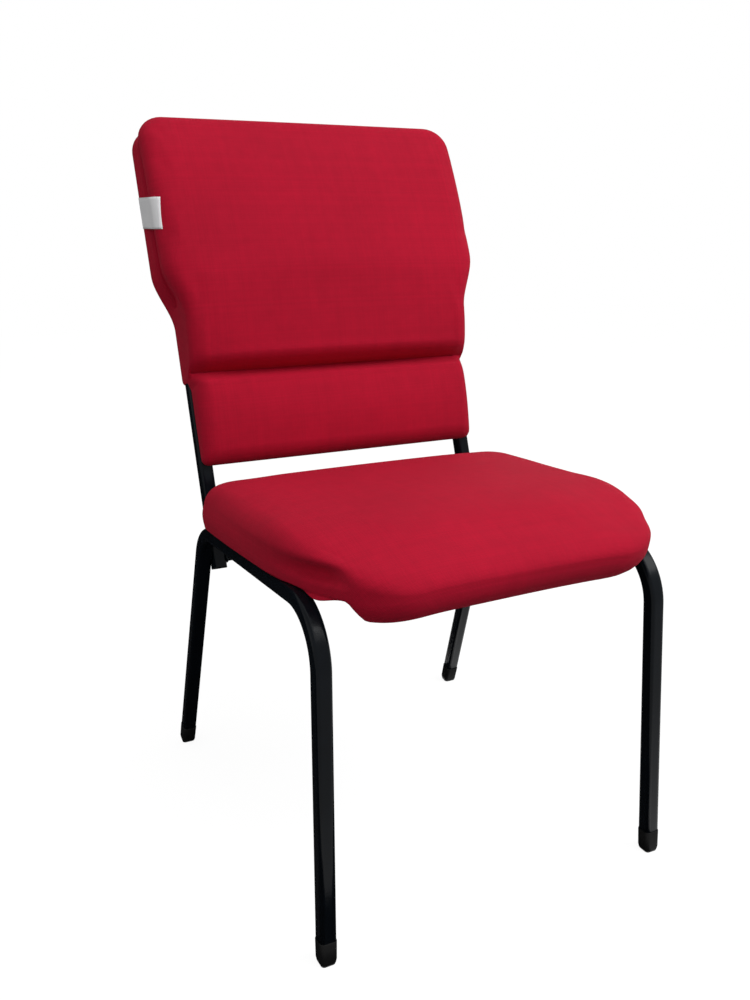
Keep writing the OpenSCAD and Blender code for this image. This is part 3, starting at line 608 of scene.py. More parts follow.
def foot_cap(name, point, up, start, carry, replaced):
    bm = bmesh.new()
    top = CAP_H - CAP_SOLE + start
    form = [*CAP_RINGS, (top - CAP_RIM, 1), (top, CAP_RIM_SHARE)]
    rings = sweep(bm, [station(point + h * up, up) for h, share in form], width=CAP_W, radius=CAP_CORNER)
    foot = station(point, up)
    for ring, (h, share) in zip(rings, form):
        for v in ring:
            v.co = foot @ Matrix.Diagonal((share, share, 1, 1)) @ foot.inverted() @ v.co
    floor_way = side_axes.to_3x3().inverted() @ Vector((0, 0, 1))
    cut = bmesh.ops.bisect_plane(bm, geom=bm.verts[:] + bm.edges[:] + bm.faces[:], plane_co=(0, 0, 0),
                                 plane_no=floor_way, clear_inner=True)["geom_cut"]
    rim = [g for g in cut if isinstance(g, bmesh.types.BMEdge)]
    if rim:
        bmesh.ops.holes_fill(bm, edges=rim, sides=0)
    piece(bm, name, foot_plastic, carry, [replaced], weighted=True)


for side, carry in SIDES:
    foot_cap("front_" + side + "_cap", Vector(), leg_up, front_from, carry, "front_" + side + "_foot")
    foot_cap("rear_" + side + "_cap", rear_foot, rear_up, rear_from, carry, "rear_" + side + "_foot")

# %% [markdown]
# ## A cushion shell
# Both cushions are made the same way. A flat grid is laid over the middle of the face and lifted to the
# foam's crown. Its border is then extruded ring by ring: round the edge, down the side, under the edge and
# into the pocket that holds the board, where it closes. Each border point remembers how far round the
# outline it is, so every ring knows where to go. A second map, named cloth, unrolls the cover in metres for
# the weave.

# %% Smooth steps
SMALL, NEAR = 1e-9, 1e-6


def clamped(t):
    return min(1.0, max(0.0, t))


def step(t):
    t = clamped(t)
    return t * t * (3 - 2 * t)


def mixed(a, b, t):
    return a + (b - a) * t


def turns(count):
    return [math.radians(90 * i / count) for i in range(count + 1)]


# %% Outlines
class Outline:
    """Half an outline from the front middle to the rear middle: outer and inner points at the same share."""

    def __init__(self, outer, inner, corners):
        self.outer, self.inner = np.array(outer), np.array(inner)
        gap = np.hypot(*np.diff((self.outer + self.inner) / 2, axis=0).T)
        self.share = np.concatenate([[0], np.cumsum(gap)]) / gap.sum()
        self.corners = [self.share[c] for c in corners]

    def at(self, points, h):
        x, y = (float(np.interp(abs(h), self.share, points[:, i])) for i in (0, 1))
        return Vector((math.copysign(x, h) if x else 0.0, y))

    def edge(self, h):
        return self.at(self.outer, h)

    def rim(self, h):
        return self.at(self.inner, h)

    def between(self, h, share):
        return mixed(self.edge(h), self.rim(h), share)

    def outward(self, h):
        way = self.edge(h) - self.rim(h)
        return way.normalized() if way.length > SMALL else Vector((0, 1))


FLAT_STEPS, LOW_STEPS = 24, 9


def half_outline(half, low, top, low_r, top_r, side_steps, top_steps=15):
    """From the low middle round the right side to the top middle. half(v) is the half width at level v."""
    start, end = low + low_r, top - top_r
    x = half(low) - low_r
    points = [Vector((x * i / FLAT_STEPS, low)) for i in range(FLAT_STEPS)]
    points += [Vector((x + low_r * math.sin(a), low + low_r * (1 - math.cos(a)))) for a in turns(LOW_STEPS)]
    levels = [mixed(start, end, i / side_steps) for i in range(1, side_steps)]
    points += [Vector((half(v), v)) for v in levels]
    x = half(end) - top_r
    points += [Vector((x + top_r * math.cos(a), end + top_r * math.sin(a))) for a in turns(top_steps)]
    return points + [Vector((x * (1 - i / FLAT_STEPS), top)) for i in range(1, FLAT_STEPS + 1)]


def corner_places(side_steps, top_half=8):
    """The numbers of the two points of a half outline at which the grid's corners lie."""
    return FLAT_STEPS + LOW_STEPS // 2, FLAT_STEPS + LOW_STEPS + side_steps + top_half


# %% Shell builder
def cushion_shell(name, outline, columns, rows, lift, rings=()):
    """lift(u, v) gives the place of a face point at u across and v along. rings pairs each function with the
    values that it takes in turn after the share of the outline. No rings leaves an open sheet."""
    first, second = outline.corners
    bm = grid(columns, len(rows) - 1)
    share_layer, map_u, map_v = (bm.verts.layers.float.new(label) for label in ("share", "map_u", "map_v"))

    def edge_share(a, b):
        if b <= -1 + NEAR:
            return math.copysign(max(abs(a) * first, SMALL), a)
        if b >= 1 - NEAR:
            return math.copysign(1 - abs(a) * (1 - second), a)
        return math.copysign(first + (b + 1) / 2 * (second - first), a)

    def inner(a, b):
        return outline.rim(edge_share(a, b))

    place_rows = {round(-1 + 2 * j / (len(rows) - 1), 5): r for j, r in enumerate(rows)}
    for v in bm.verts:
        a, b = v.co.x, place_rows[round(v.co.y, 5)]
        s, t = (a + 1) / 2, (b + 1) / 2
        corners = mixed(mixed(inner(-1, -1), inner(1, -1), s), mixed(inner(-1, 1), inner(1, 1), s), t)
        spot = mixed(inner(-1, b), inner(1, b), s) + mixed(inner(a, -1), inner(a, 1), t) - corners
        on_edge = max(abs(a), abs(b)) > 1 - NEAR
        v[share_layer] = edge_share(a if abs(a) > SMALL else SMALL, b) if on_edge else 0
        v[map_u], v[map_v] = spot
        v.co = lift(spot.x, spot.y)
    border = [e for e in bm.edges if e.is_boundary]
    for ring, value in [(ring, value) for ring, values in rings for value in values]:
        grown = bmesh.ops.extrude_edge_only(bm, edges=border)["geom"]
        border = [g for g in grown if isinstance(g, bmesh.types.BMEdge) and g.is_boundary]
        for v in {v for e in border for v in e.verts}:
            before, h = v.co.copy(), v[share_layer]
            v.co = ring(h, value)
            way = outline.outward(h) * (v.co - before).length
            v[map_u] += way.x
            v[map_v] += way.y
    if rings:
        bmesh.ops.poke(bm, faces=bmesh.ops.holes_fill(bm, edges=border, sides=0)["faces"])
    cloth_map = bm.loops.layers.uv.new("cloth")
    for face in bm.faces:
        for loop in face.loops:
            loop[cloth_map].uv = (loop.vert[map_u], loop.vert[map_v])
    print(name, "shell", len(bm.verts), "points")
    return bm


# %% [markdown]
# ## Seat cushion
# The seat is wide and soft, with a waterfall front: the top falls towards a rounded nose, and a roll of
# foam hangs in front of the board. Its front corners are long ellipses. The side of the cover is pulled in
# under those corners, where the cloth turns from the roll to the board, and that is the darkest part of the
# side.

# %% Seat sizes
SEAT_HALF, SEAT_NOSE, SEAT_REAR = 0.233, -0.055, RAIL_LEN - 0.0054
SEAT_MID = (SEAT_REAR + SEAT_NOSE) / 2
CORNER_X, CORNER_Y, CORNER_ROUND, SEAT_CORNER_R = 0.110, 0.200, 0.94, 0.040
SEAT_UNDER, BOARD_TOP, BOARD_FRONT, ROLL_LOW = 0.0097, 0.0225, -0.013, -0.0100
SEAT_FOAM, SEAT_FALL, SEAT_CROWN = 0.043, 0.030, 0.008
CORNER_FALL, FALL_X, FALL_WIDE, FALL_Y, FALL_LONG = 0.009, 0.09, 0.13, 0.12, 0.16
SEAT_EDGE, CORNER_EDGE, SIDE_EDGE, SIDE_PUFF = 0.024, 0.013, 0.004, 0.002
NOSE_EDGE, NOSE_DROP, NOSE_HALF, NOSE_FADE = 0.040, 0.013, 0.120, 0.070
ROLL_DEEP, ROLL_TALL, ROLL_STEP = 0.026, 0.025, 0.017
ROLL_SAG, ROLL_END, SAG_REACH = 0.0048, 0.178, 0.042
LIP, LIP_SAG, LIP_AT, LIP_REACH = 0.009, 0.0050, 0.020, 0.022
ROLL_LEAN, LEAN_DROP, LEAN_FROM, LEAN_WIDE, LEAN_TOP, LEAN_TALL = 0.010, 0.0014, -0.12, 0.26, 0.038, 0.048
PULL_FRONT, PULL_FULL, PULL_GONE, PULL_RIGHT = -0.030, 0.010, 0.300, 0.4
PULL_LEVELS = ((0.000, 0.0045, 0.0090, 0.0110, 0.0225, 0.0300, 0.0400, 0.0480),
               (0.001, 0.0010, 0.0088, 0.0076, 0.0078, 0.0085, 0.0045, 0.0000))
LIP_TOP, LIP_TALL = 0.018, 0.012
HOLLOW, HOLLOW_AT, HOLLOW_REACH = 0.0090, 0.020, 0.045
HOLLOW_LOW, HOLLOW_LOW_SOFT, HOLLOW_HIGH, HOLLOW_HIGH_SOFT = 0.022, 0.006, 0.046, 0.012
NOSE_STEPS, TURN_STEPS, CLEAR = 20, 60, 0.0002
SEAT_CORNERS = (NOSE_STEPS + 32, 2 * NOSE_STEPS + TURN_STEPS + 8)


# %% Seat outline
def front_share(y):
    return 1 - step((y - SEAT_NOSE) / CORNER_Y)


def seat_top(x, y):
    fall = max(0.0, (SEAT_MID - y) / (SEAT_MID - SEAT_NOSE))
    long = (y - SEAT_MID) / (SEAT_MID - SEAT_NOSE)
    corner = CORNER_FALL * step((abs(x) - FALL_X) / FALL_WIDE) * step((FALL_Y - y) / FALL_LONG)
    crown = SEAT_CROWN * (1 - (x / SEAT_HALF) ** 2) * (1 - long ** 4)
    return BOARD_TOP + SEAT_FOAM - SEAT_FALL * fall ** 3 - corner + crown


def drawn_in(p, d):
    way = Vector((0, SEAT_MID)) - p
    return p + way * (d / way.length)


def seat_curve(inset, front):
    """Half the seat's outline, drawn in by inset at its sides and rear, with its front at front."""
    r, flat, nose_end = SEAT_CORNER_R - inset / 2, SEAT_HALF - CORNER_X, SEAT_NOSE + CORNER_Y
    reach_x, reach_y = CORNER_X - inset, nose_end - front
    rear_x, rear_y = SEAT_HALF - inset - r, SEAT_REAR - inset - r
    points = [Vector((flat * i / NOSE_STEPS, front)) for i in range(NOSE_STEPS)]
    points += [Vector((flat + reach_x * math.sin(a) ** CORNER_ROUND,
                       nose_end - reach_y * max(0.0, math.cos(a)) ** CORNER_ROUND))
               for a in turns(TURN_STEPS)]
    side_y = [mixed(nose_end, rear_y, i / NOSE_STEPS) for i in range(1, NOSE_STEPS)]
    points += [Vector((SEAT_HALF - inset, y)) for y in side_y]
    points += [Vector((rear_x + r * math.cos(a), rear_y + r * math.sin(a))) for a in turns(15)]
    shares = [1 - i / NOSE_STEPS for i in range(1, NOSE_STEPS + 1)]
    return points + [Vector((rear_x * share, SEAT_REAR - inset)) for share in shares]


seat_outer = seat_curve(0, SEAT_NOSE)
pocket = np.array(seat_curve(LIP - CLEAR, BOARD_FRONT - CLEAR))


# %% Seat roll and side
def roll_share(y):
    return 1 - step((y - BOARD_FRONT + ROLL_STEP) / ROLL_STEP)


def lean_share(p):
    return step((p.x - LEAN_FROM) / LEAN_WIDE)


def roll_levels(p):
    """How far in and how tall the lower edge is, and the level of its underside."""
    share = roll_share(p.y)
    sag = ROLL_SAG * math.exp(-((p.x + ROLL_END) / SAG_REACH) ** 2)
    lip = LIP_SAG * math.exp(-((p.y - LIP_AT) / LIP_REACH) ** 2)
    under = mixed(SEAT_UNDER - lip, ROLL_LOW - sag - LEAN_DROP * lean_share(p), share)
    return mixed(SIDE_EDGE, ROLL_DEEP, share), mixed(SIDE_EDGE, ROLL_TALL, share), under


def roll_lean(p, z):
    """The roll's front tucks under towards its right end."""
    return ROLL_LEAN * lean_share(p) * roll_share(p.y) * clamped((LEAN_TOP - z) / LEAN_TALL) ** 1.7


def side_pull(p, z):
    """How far the side is drawn in behind the roll: most beside the board, least at the lip under it."""
    if abs(p.x) <= SEAT_HALF / 2:
        return 0.0
    along = step((p.y - PULL_FRONT) / (PULL_FULL - PULL_FRONT))
    along *= 1 - step((p.y - PULL_FULL) / (PULL_GONE - PULL_FULL))
    hollow = HOLLOW * math.exp(-((p.y - HOLLOW_AT) / HOLLOW_REACH) ** 2)
    hollow *= step((z - HOLLOW_LOW) / HOLLOW_LOW_SOFT) * step((HOLLOW_HIGH - z) / HOLLOW_HIGH_SOFT)
    share = 1 if p.x < 0 else mixed(1, PULL_RIGHT, step((z - LIP_TOP) / LIP_TALL))
    return along * share * (float(np.interp(z, *PULL_LEVELS)) + hollow)


def edge_size(p):
    """Width and drop of the rounded top edge: broad over the nose, tight at the front corners."""
    front = front_share(p.y)
    nose = front * (1 - step((abs(p.x) - NOSE_HALF) / NOSE_FADE))
    side = mixed(SEAT_EDGE, CORNER_EDGE, front)
    return mixed(side, NOSE_EDGE, nose), mixed(side, NOSE_DROP, nose)


def shaped(start, p, z, further=0.0):
    """The place at level z of a point that starts at start and belongs to the edge point p."""
    q = drawn_in(start, side_pull(p, z) + roll_lean(p, z) + further)
    return Vector((q.x, q.y, z))


# %% Seat rings
def seat_edge_ring(h, degrees):
    p, a = seat_line.edge(h), math.radians(degrees)
    wide, drop = edge_size(p)
    q = drawn_in(p, wide * (1 - math.cos(a)))
    return shaped(q, p, seat_top(q.x, q.y) - drop * (1 - math.sin(a)))


def seat_side_ring(h, t):
    p = seat_line.edge(h)
    deep, tall, under = roll_levels(p)
    puff = SIDE_PUFF * (1 - front_share(p.y)) * math.sin(math.pi * t)
    return shaped(p, p, mixed(seat_top(p.x, p.y) - edge_size(p)[1], under + tall, t), -puff)


def seat_low_ring(h, degrees):
    p, a = seat_line.edge(h), math.radians(degrees)
    deep, tall, under = roll_levels(p)
    return shaped(p, p, under + tall * (1 - math.sin(a)), deep * (1 - math.cos(a)))


def seat_step_ring(h, t):
    p = seat_line.edge(h)
    deep, tall, under = roll_levels(p)
    rim = drawn_in(seat_line.at(pocket, h), -SIDE_EDGE / 2)
    q = mixed(shaped(p, p, under, deep).xy, rim, t)
    return Vector((q.x, q.y, mixed(under, SEAT_UNDER, step(t))))


def pocket_ring(h, z):
    q = seat_line.at(pocket, h)
    return Vector((q.x, q.y, z))


seat_inner = [drawn_in(p, edge_size(p)[0]) for p in seat_outer]
seat_line = Outline(seat_outer, seat_inner, SEAT_CORNERS)
seat_rings = (
    (seat_edge_ring, range(80, -1, -10)),
    (seat_side_ring, (0.14, 0.28, 0.42, 0.56, 0.68, 0.78, 0.86, 0.93, 1.0)),
    (seat_low_ring, range(15, 91, 15)),
    (seat_step_ring, (0.25, 0.5, 0.75, 1.0)),
    (pocket_ring, (SEAT_UNDER, BOARD_TOP + CLEAR)),
)
seat_rows = [-1 + 2 * i / 90 for i in range(91)]
bm = cushion_shell("seat", seat_line, 96, seat_rows, lambda x, y: (x, y, seat_top(x, y)), seat_rings)
seat_pad = piece(bm, "seat_pad", cover_fabric, seat_axes, ["seat_cushion"])

# %% [markdown]
# ### Stretching the cloth over the foam
# A cover isn't a hard skin: it is pulled at its edges and pushed out by the foam. Blender's cloth does that
# in a few frames. The cloth is held where it is stapled and sewn, an inner pressure stands for the foam,
# gravity is off, and a cap keeps every point near the shape above, so the cushion stays in its place.

# %% Cloth on foam
FRAMES, FOAM_PUSH, MOST_MOVE = 16, 4.0, 0.003
CLOTH = {"quality": 5, "mass": 0.25, "tension_stiffness": 18, "compression_stiffness": 18,
         "shear_stiffness": 6, "bending_stiffness": 1.5, "use_pressure": True,
         "uniform_pressure_force": FOAM_PUSH, "vertex_group_mass": "fastened", "pin_stiffness": 2}


def settle(pad, hold, slack, calm):
    """hold(point) is 1 where the cloth is fastened and 0 where it is free. calm rounds of averaging with the
    neighbours iron out the finest creases."""
    mesh = pad.data
    start = np.array([v.co[:] for v in mesh.vertices])
    fastened = pad.vertex_groups.new(name="fastened")
    for v in mesh.vertices:
        fastened.add([v.index], hold(v.co), "REPLACE")
    cloth_mod = pad.modifiers.new("cloth", "CLOTH")
    for name, value in CLOTH.items():
        setattr(cloth_mod.settings, name, value)
    cloth_mod.settings.shrink_min = slack
    cloth_mod.settings.effector_weights.gravity = 0
    cloth_mod.collision_settings.use_collision = False
    for number in range(1, FRAMES + 1):
        bpy.context.scene.frame_set(number)
    simulated = pad.evaluated_get(bpy.context.evaluated_depsgraph_get())
    moved = np.array([v.co[:] for v in simulated.data.vertices]) - start
    far = np.linalg.norm(moved, axis=1)
    free = np.array([1 - hold(v.co) for v in mesh.vertices])
    moved *= (np.minimum(far, MOST_MOVE) / np.maximum(far, SMALL) * free)[:, None]
    ends = np.array([e.vertices[:] for e in mesh.edges])
    ends = np.concatenate([ends, ends[:, ::-1]])
    links = np.bincount(ends[:, 0], minlength=len(moved))[:, None]
    for turn in range(calm):
        near = np.zeros_like(moved)
        np.add.at(near, ends[:, 0], moved[ends[:, 1]])
        moved = (moved + near / links) / 2 * free[:, None] ** 0.5
    pad.modifiers.remove(cloth_mod)
    pad.vertex_groups.remove(fastened)
    bpy.context.scene.frame_set(1)
    for v, place in zip(mesh.vertices, start + moved):
        v.co = place
    mesh.update()
    kept = np.linalg.norm(moved, axis=1)
    print(pad.name, "cloth moved and kept, in mm:", *(round(float(d.max()) * 1000, 2) for d in (far, kept)))


HELD_LEVEL, HELD_TALL = 0.020, 0.022
seat_back = seat_axes.inverted()


def seat_hold(point):
    return 1 - step(((seat_back @ point).z - HELD_LEVEL) / HELD_TALL)


settle(seat_pad, seat_hold, 0.0, 26)

# %% [markdown]
# ## Back cushion
# The back has a narrow lower part, a sewn channel at the small of the back, and a winged upper part that
# bulges forward over it. Above the channel the cover wraps round the uprights to meet the rear panel.

# %% Back outline
BACK_H, TOP_R, LOW_R, LEAST_R, BACK_EDGE = 0.476, 0.036, 0.010, 0.007, 0.021
LOW_HALF, WRAP_HALF, WING_HALF, TOP_HALF = 0.2085, 0.2125, 0.235, 0.237
CHANNEL, CHANNEL_DEPTH, CHANNEL_FADE = 0.1255, 0.0215, 0.35
SEW_LOW, SEW_HIGH, OVERHANG = 0.0098, 0.0120, 0.0045
SIDE_PULL, SIDE_WIDE, SIDE_STOP, WING_PULL, WING_REACH = 0.005, 0.010, 0.0015, 0.004, 0.07
WING_START, WING_FULL, WRAP_START, WRAP_LONG, WRAP_BACK_LONG = 0.192, 0.270, 0.104, 0.018, 0.016
LINING_Y, BOARD_REAR, BOARD_FACE, WRAP_REAR, POCKET_IN = -0.0097, -0.0105, -0.0195, 0.01495, 0.0041
BACK_FOAM, UPPER_BULGE, LOW_BULGE, ACROSS = 0.0185, 0.032, 0.006, 0.005
PEAK, LOW_TILT = 0.31, 0.013


def back_side(v):
    low = mixed(LOW_HALF, WRAP_HALF, step((v - WRAP_START) / WRAP_LONG))
    if v < WING_FULL:
        return mixed(low, WING_HALF, step((v - WING_START) / (WING_FULL - WING_START)))
    return mixed(WING_HALF, TOP_HALF, (v - WING_FULL) / (BACK_H - WING_FULL))


def bulge(t, peak, rise):
    """The foam swells steeply from its lower seam to its peak and eases off to the upper one."""
    turn = t / peak / 2 if t < peak else 0.5 + (t - peak) / (1 - peak) / 2
    return math.sin(math.pi * turn) ** (rise if t < peak else 0.75)


def back_face(u, v):
    above, out = v > CHANNEL, u / back_side(v)
    t = clamped((v - CHANNEL) / (BACK_H - CHANNEL) if above else v / CHANNEL)
    bow = bulge(t, PEAK if above else 0.5, 0.32 + 0.4 * out ** 4)
    seam = math.exp(-abs((v - CHANNEL) / (SEW_HIGH if above else SEW_LOW)) ** 2.2)
    sewn = (1 - CHANNEL_FADE * out ** 6) * CHANNEL_DEPTH * seam
    lean = 0 if above else LOW_TILT * (0.6 - t)
    swell = (UPPER_BULGE if above else LOW_BULGE) * bow + ACROSS * bow * (1 - out ** 2)
    return BOARD_FACE - BACK_FOAM - swell + sewn + lean


def hung(v):
    """The upper foam hangs over the sewn line, so its cloth lies a little lower than it was cut."""
    w = max(0.0, (v - CHANNEL) / SEW_HIGH)
    return v - OVERHANG * w * math.exp(1 - w)


def back_point(u, v):
    return Vector((u, back_face(u, min(max(v, 0.0), BACK_H)), hung(v)))


def back_curve(d):
    return half_outline(lambda v: back_side(v) - d, d, BACK_H - d, max(LOW_R - d, LEAST_R),
                        max(TOP_R - d, LEAST_R), 80)


back_line = Outline(back_curve(0), back_curve(BACK_EDGE), corner_places(80))
print("back outline", len(back_line.outer), "points")


# %% Back rings
def rear_level(v):
    return mixed(LINING_Y, WRAP_REAR, step((v - WRAP_START) / WRAP_BACK_LONG))


def side_start(h):
    """How far back the rounded front edge ends and the side begins."""
    q = back_line.rim(h)
    return min(BOARD_REAR, back_face(q.x, q.y) + BACK_EDGE)


def back_edge_ring(h, degrees):
    a = math.radians(degrees)
    s = back_line.between(h, 1 - math.cos(a))
    face = back_point(s.x, s.y)
    return Vector((s.x, mixed(side_start(h), face.y, math.sin(a)), mixed(s.y, face.z, math.sin(a))))


def back_side_ring(h, t):
    p = back_line.edge(h)
    wing = math.exp(-((p.y - WING_START) / WING_REACH) ** 2)
    pull = (SIDE_PULL + WING_PULL * wing) * step((abs(p.x) - WRAP_HALF) / SIDE_WIDE)
    s = back_line.between(h, pull / BACK_EDGE * math.sin(math.pi * t) ** 0.8)
    return Vector((s.x, mixed(side_start(h), rear_level(p.y) - SIDE_STOP, t), s.y))


def back_rear_ring(h, spot):
    """spot is how far in from the side the ring lies, and how far before the rear of the wrapped cover."""
    s = back_line.between(h, spot[0] / BACK_EDGE)
    return Vector((s.x, rear_level(back_line.edge(h).y) - spot[1], s.y))


def back_pocket_ring(h, level):
    s = back_line.between(h, POCKET_IN / BACK_EDGE)
    return Vector((s.x, level, s.y))


back_rings = (
    (back_edge_ring, range(80, -1, -10)),
    (back_side_ring, (0.1, 0.2, 0.32, 0.46, 0.6, 0.74, 0.88, 1.0)),
    (back_rear_ring, ((0.0006, 0.0004), (0.0018, 0.0), (0.0039, 0.0), (POCKET_IN, 0.002))),
    (back_pocket_ring, (BOARD_FACE - CLEAR,)),
)
back_rows = [-1 + 0.4 * i / 20 for i in range(20)] + [-0.6 + 0.24 * i / 36 for i in range(36)]
back_rows += [-0.36 + 1.36 * i / 74 for i in range(75)]
bm = cushion_shell("back", back_line, 100, back_rows, back_point, back_rings)
back_pad = piece(bm, "back_pad", cover_fabric, back_cushion_axes, ["back_cushion"])
SEWN_REACH, HELD_SHARE, HELD_DEEP = 0.016, 0.6, 0.012
back_back = back_cushion_axes.inverted()


def back_hold(point):
    p = back_back @ point
    sewn = math.exp(-((p.z - CHANNEL) / SEWN_REACH) ** 4)
    return max(sewn, 1 - step((BOARD_FACE - BACK_FOAM * HELD_SHARE - p.y) / HELD_DEEP))


settle(back_pad, back_hold, -0.0015, 6)

# %% [markdown]
# ## Rear panel
# A thin padded panel closes the back behind the uprights. Its face swells a little and its cover turns
# round a soft edge all the way.

# %% Rear panel
PANEL_IN, PANEL_T, PANEL_EDGE, PANEL_SWELL = 0.0046, 0.007, 0.006, 0.0022
PANEL_LOW, PANEL_TOP, PANEL_LOW_R, PANEL_LOW_HALF = 0.1255, BACK_H - PANEL_IN, 0.012, 0.2078
PANEL_FRONT, PANEL_HEM, PANEL_ROUND, PANEL_WIDE_FROM = TUBE / 2 + CLEAR, 0.0018, 0.0012, 0.13


def panel_curve(d):
    def half(v):
        return (back_side(v) - PANEL_IN if v > PANEL_WIDE_FROM else PANEL_LOW_HALF) - d
    return half_outline(half, PANEL_LOW + d, PANEL_TOP - d, PANEL_LOW_R - d / 2, TOP_R - PANEL_IN - d / 2, 60)


panel_line = Outline(panel_curve(0), panel_curve(PANEL_EDGE), corner_places(60))


def panel_face(u, v):
    t = clamped((v - PANEL_LOW) / (PANEL_TOP - PANEL_LOW))
    swell = PANEL_SWELL * math.sin(math.pi * t) ** 0.6 * (1 - (u / back_side(v)) ** 4)
    return PANEL_FRONT + PANEL_T - PANEL_ROUND + swell


def panel_edge_ring(h, degrees):
    a = math.radians(degrees)
    s = panel_line.between(h, 1 - math.cos(a))
    return Vector((s.x, mixed(PANEL_FRONT + PANEL_HEM, panel_face(s.x, s.y), math.sin(a)), s.y))


def panel_front_ring(h, spot):
    """spot is how far in from the edge the ring lies, and how far behind the uprights."""
    s = panel_line.between(h, spot[0] / PANEL_EDGE)
    return Vector((s.x, PANEL_FRONT + spot[1], s.y))


panel_rings = (
    (panel_edge_ring, range(75, -1, -15)),
    (panel_front_ring, ((0.0, 0.0009), (0.0006, 0.0002), (0.003, 0.0))),
)
panel_rows = [-1 + 2 * i / 60 for i in range(61)]
bm = cushion_shell("panel", panel_line, 60, panel_rows, lambda u, v: (u, panel_face(u, v), v), panel_rings)
back_panel = piece(bm, "back_panel", cover_fabric, back_cushion_axes, ["rear_panel"])

# %% [markdown]
# ## Lining and dust cover
# Under the seat board and behind the lower back board a thin cloth hides the wood and the folded cover.
# Each is one sheet pulled flat, stapled near its hem, and it only sags by a hair between its staples.

# %% Thin cloth
SHEET_T, TAG_T, HAIR = 0.0005, 0.0004, 0.0001


def thick(sheet, thickness):
    body = sheet.modifiers.new("cloth thickness", "SOLIDIFY")
    body.thickness, body.offset = thickness, 0


def flat_sheet(name, points, corners, rows, lift, material, axes, replaced):
    """Cuts a sheet to a half outline and its mirror, and pulls it flat over its board."""
    bm = cushion_shell(name, Outline(points, points, corners), 60, rows, lift)
    sheet = piece(bm, name, material, axes, [replaced])
    thick(sheet, SHEET_T)


# %% Dust cover
SAG, SAG_X, SAG_FRONT, SAG_REAR, SAG_SOFT, WAVE = 0.0016, 0.186, 0.095, 0.300, 0.03, 0.0003
dust_outer = seat_curve(LIP + CLEAR, BOARD_FRONT + CLEAR)


def dust_level(x, y):
    inside = math.prod(step(d / SAG_SOFT) for d in (SAG_X - abs(x), y - SAG_FRONT, SAG_REAR - y))
    ripple = WAVE * math.sin(41 * x + 7 * y) * math.sin(33 * y)
    return SEAT_UNDER + SHEET_T / 2 + HAIR - inside * (SAG + ripple)


flat_sheet("dust_sheet", dust_outer, SEAT_CORNERS, [-1 + i / 30 for i in range(61)],
           lambda x, y: (x, y, dust_level(x, y)), dust_fabric, seat_axes, "seat_dust_cover")

# %% Staples
CROWN, WIRE_W, WIRE_T, STAPLE_INSET, STAPLE_GAP = 0.010, 0.0011, 0.0006, 0.007, 0.045


def spots_along(points):
    """Places and headings at even gaps round an outline, a little inside of it."""
    points = np.array(points)
    full = np.concatenate([points, (points * (-1, 1))[::-1][1:-1]])
    middle = Vector(full.mean(axis=0))
    steps = np.hypot(*np.diff(full, axis=0, append=full[:1]).T)
    run = np.concatenate([[0], np.cumsum(steps)])
    full = np.concatenate([full, full[:1]])
    for d in np.arange(STAPLE_GAP / 2, run[-1], STAPLE_GAP):
        here, ahead = (Vector([float(np.interp(place % run[-1], run, full[:, i])) for i in (0, 1)])
                       for place in (d, d + 0.002))
        inside = here + (middle - here).normalized() * STAPLE_INSET
        yield Vector((inside.x, inside.y, SEAT_UNDER - 0.0003)), ahead - here


one = bmesh.new()
bmesh.ops.create_cube(one, size=1)
bmesh.ops.scale(one, vec=(CROWN, WIRE_W, WIRE_T), verts=one.verts)
bmesh.ops.subdivide_edges(one, edges=[e for e in one.edges if e.calc_length() > CROWN / 2], cuts=5)
for v in one.verts:
    v.co.z += WIRE_T * abs(v.co.x / CROWN * 2) ** 4
bm = bmesh.new()
for spot, way in spots_along(dust_outer):
    turned = Matrix.Rotation(math.atan2(way.y, way.x), 4, "Z")
    add_copy(bm, one, seat_axes @ Matrix.Translation(spot) @ turned)
one.free()
piece(bm, "dust_staples", zinc_steel)

# %% Back lining
LINING_LOW, LINING_TOP, LINING_HALF, LINING_R = 0.0046, 0.1128, LOW_HALF - LIP, 0.010
LOOSE_X, LOOSE_SOFT, LOOSE_HEM, LOOSE_WAVE = 0.180, 0.03, 0.02, 0.0005


def lining_level(u, v):
    inside = step((LOOSE_X - abs(u)) / LOOSE_SOFT)
    inside *= step((v - LINING_LOW) / LOOSE_HEM) * step((LINING_TOP - v) / LOOSE_HEM)
    return LINING_Y - SHEET_T / 2 - HAIR + inside * LOOSE_WAVE * math.sin(38 * u + 4) * math.sin(60 * v)


lining_outer = half_outline(lambda v: LINING_HALF, LINING_LOW, LINING_TOP, LINING_R, LINING_R, 20, 9)
flat_sheet("lining_sheet", lining_outer, corner_places(20, 4), [-1 + i / 10 for i in range(21)],
           lambda u, v: (u, lining_level(u, v), v), lining_fabric, back_cushion_axes,
           "back_lining")

# %% [markdown]
# ## Side tag
# The chair carries a small white woven tag on the left side of its back. It is one bare strip of cloth,
# level with the floor, that follows the cushion from its rear edge round to its front edge, and a stitch
# row holds both of its ends.

# %% Tag on the cushion's side
TAG_REAR, TAG_FRONT, TAG_LOW, TAG_HIGH, TAG_OFF = 0.0135, -0.0595, 0.336, 0.379, 0.0006
TAG_COLUMNS, TAG_ROWS = 30, 12
back_skin = BVHTree.FromPolygons([back_back @ v.co for v in back_pad.data.vertices],
                                 [p.vertices[:] for p in back_pad.data.polygons])


def on_side(depth, level):
    """A point on the cushion's left side, just proud of the cloth."""
    start = Vector((-TOP_HALF - 0.02, depth, level + math.tan(BACK_RAKE) * (depth - TAG_REAR)))
    hit, normal, *_ = back_skin.ray_cast(start, Vector((1, 0, 0)))
    if hit is None:
        hit, normal, *_ = back_skin.find_nearest(start)
    return hit + normal * TAG_OFF


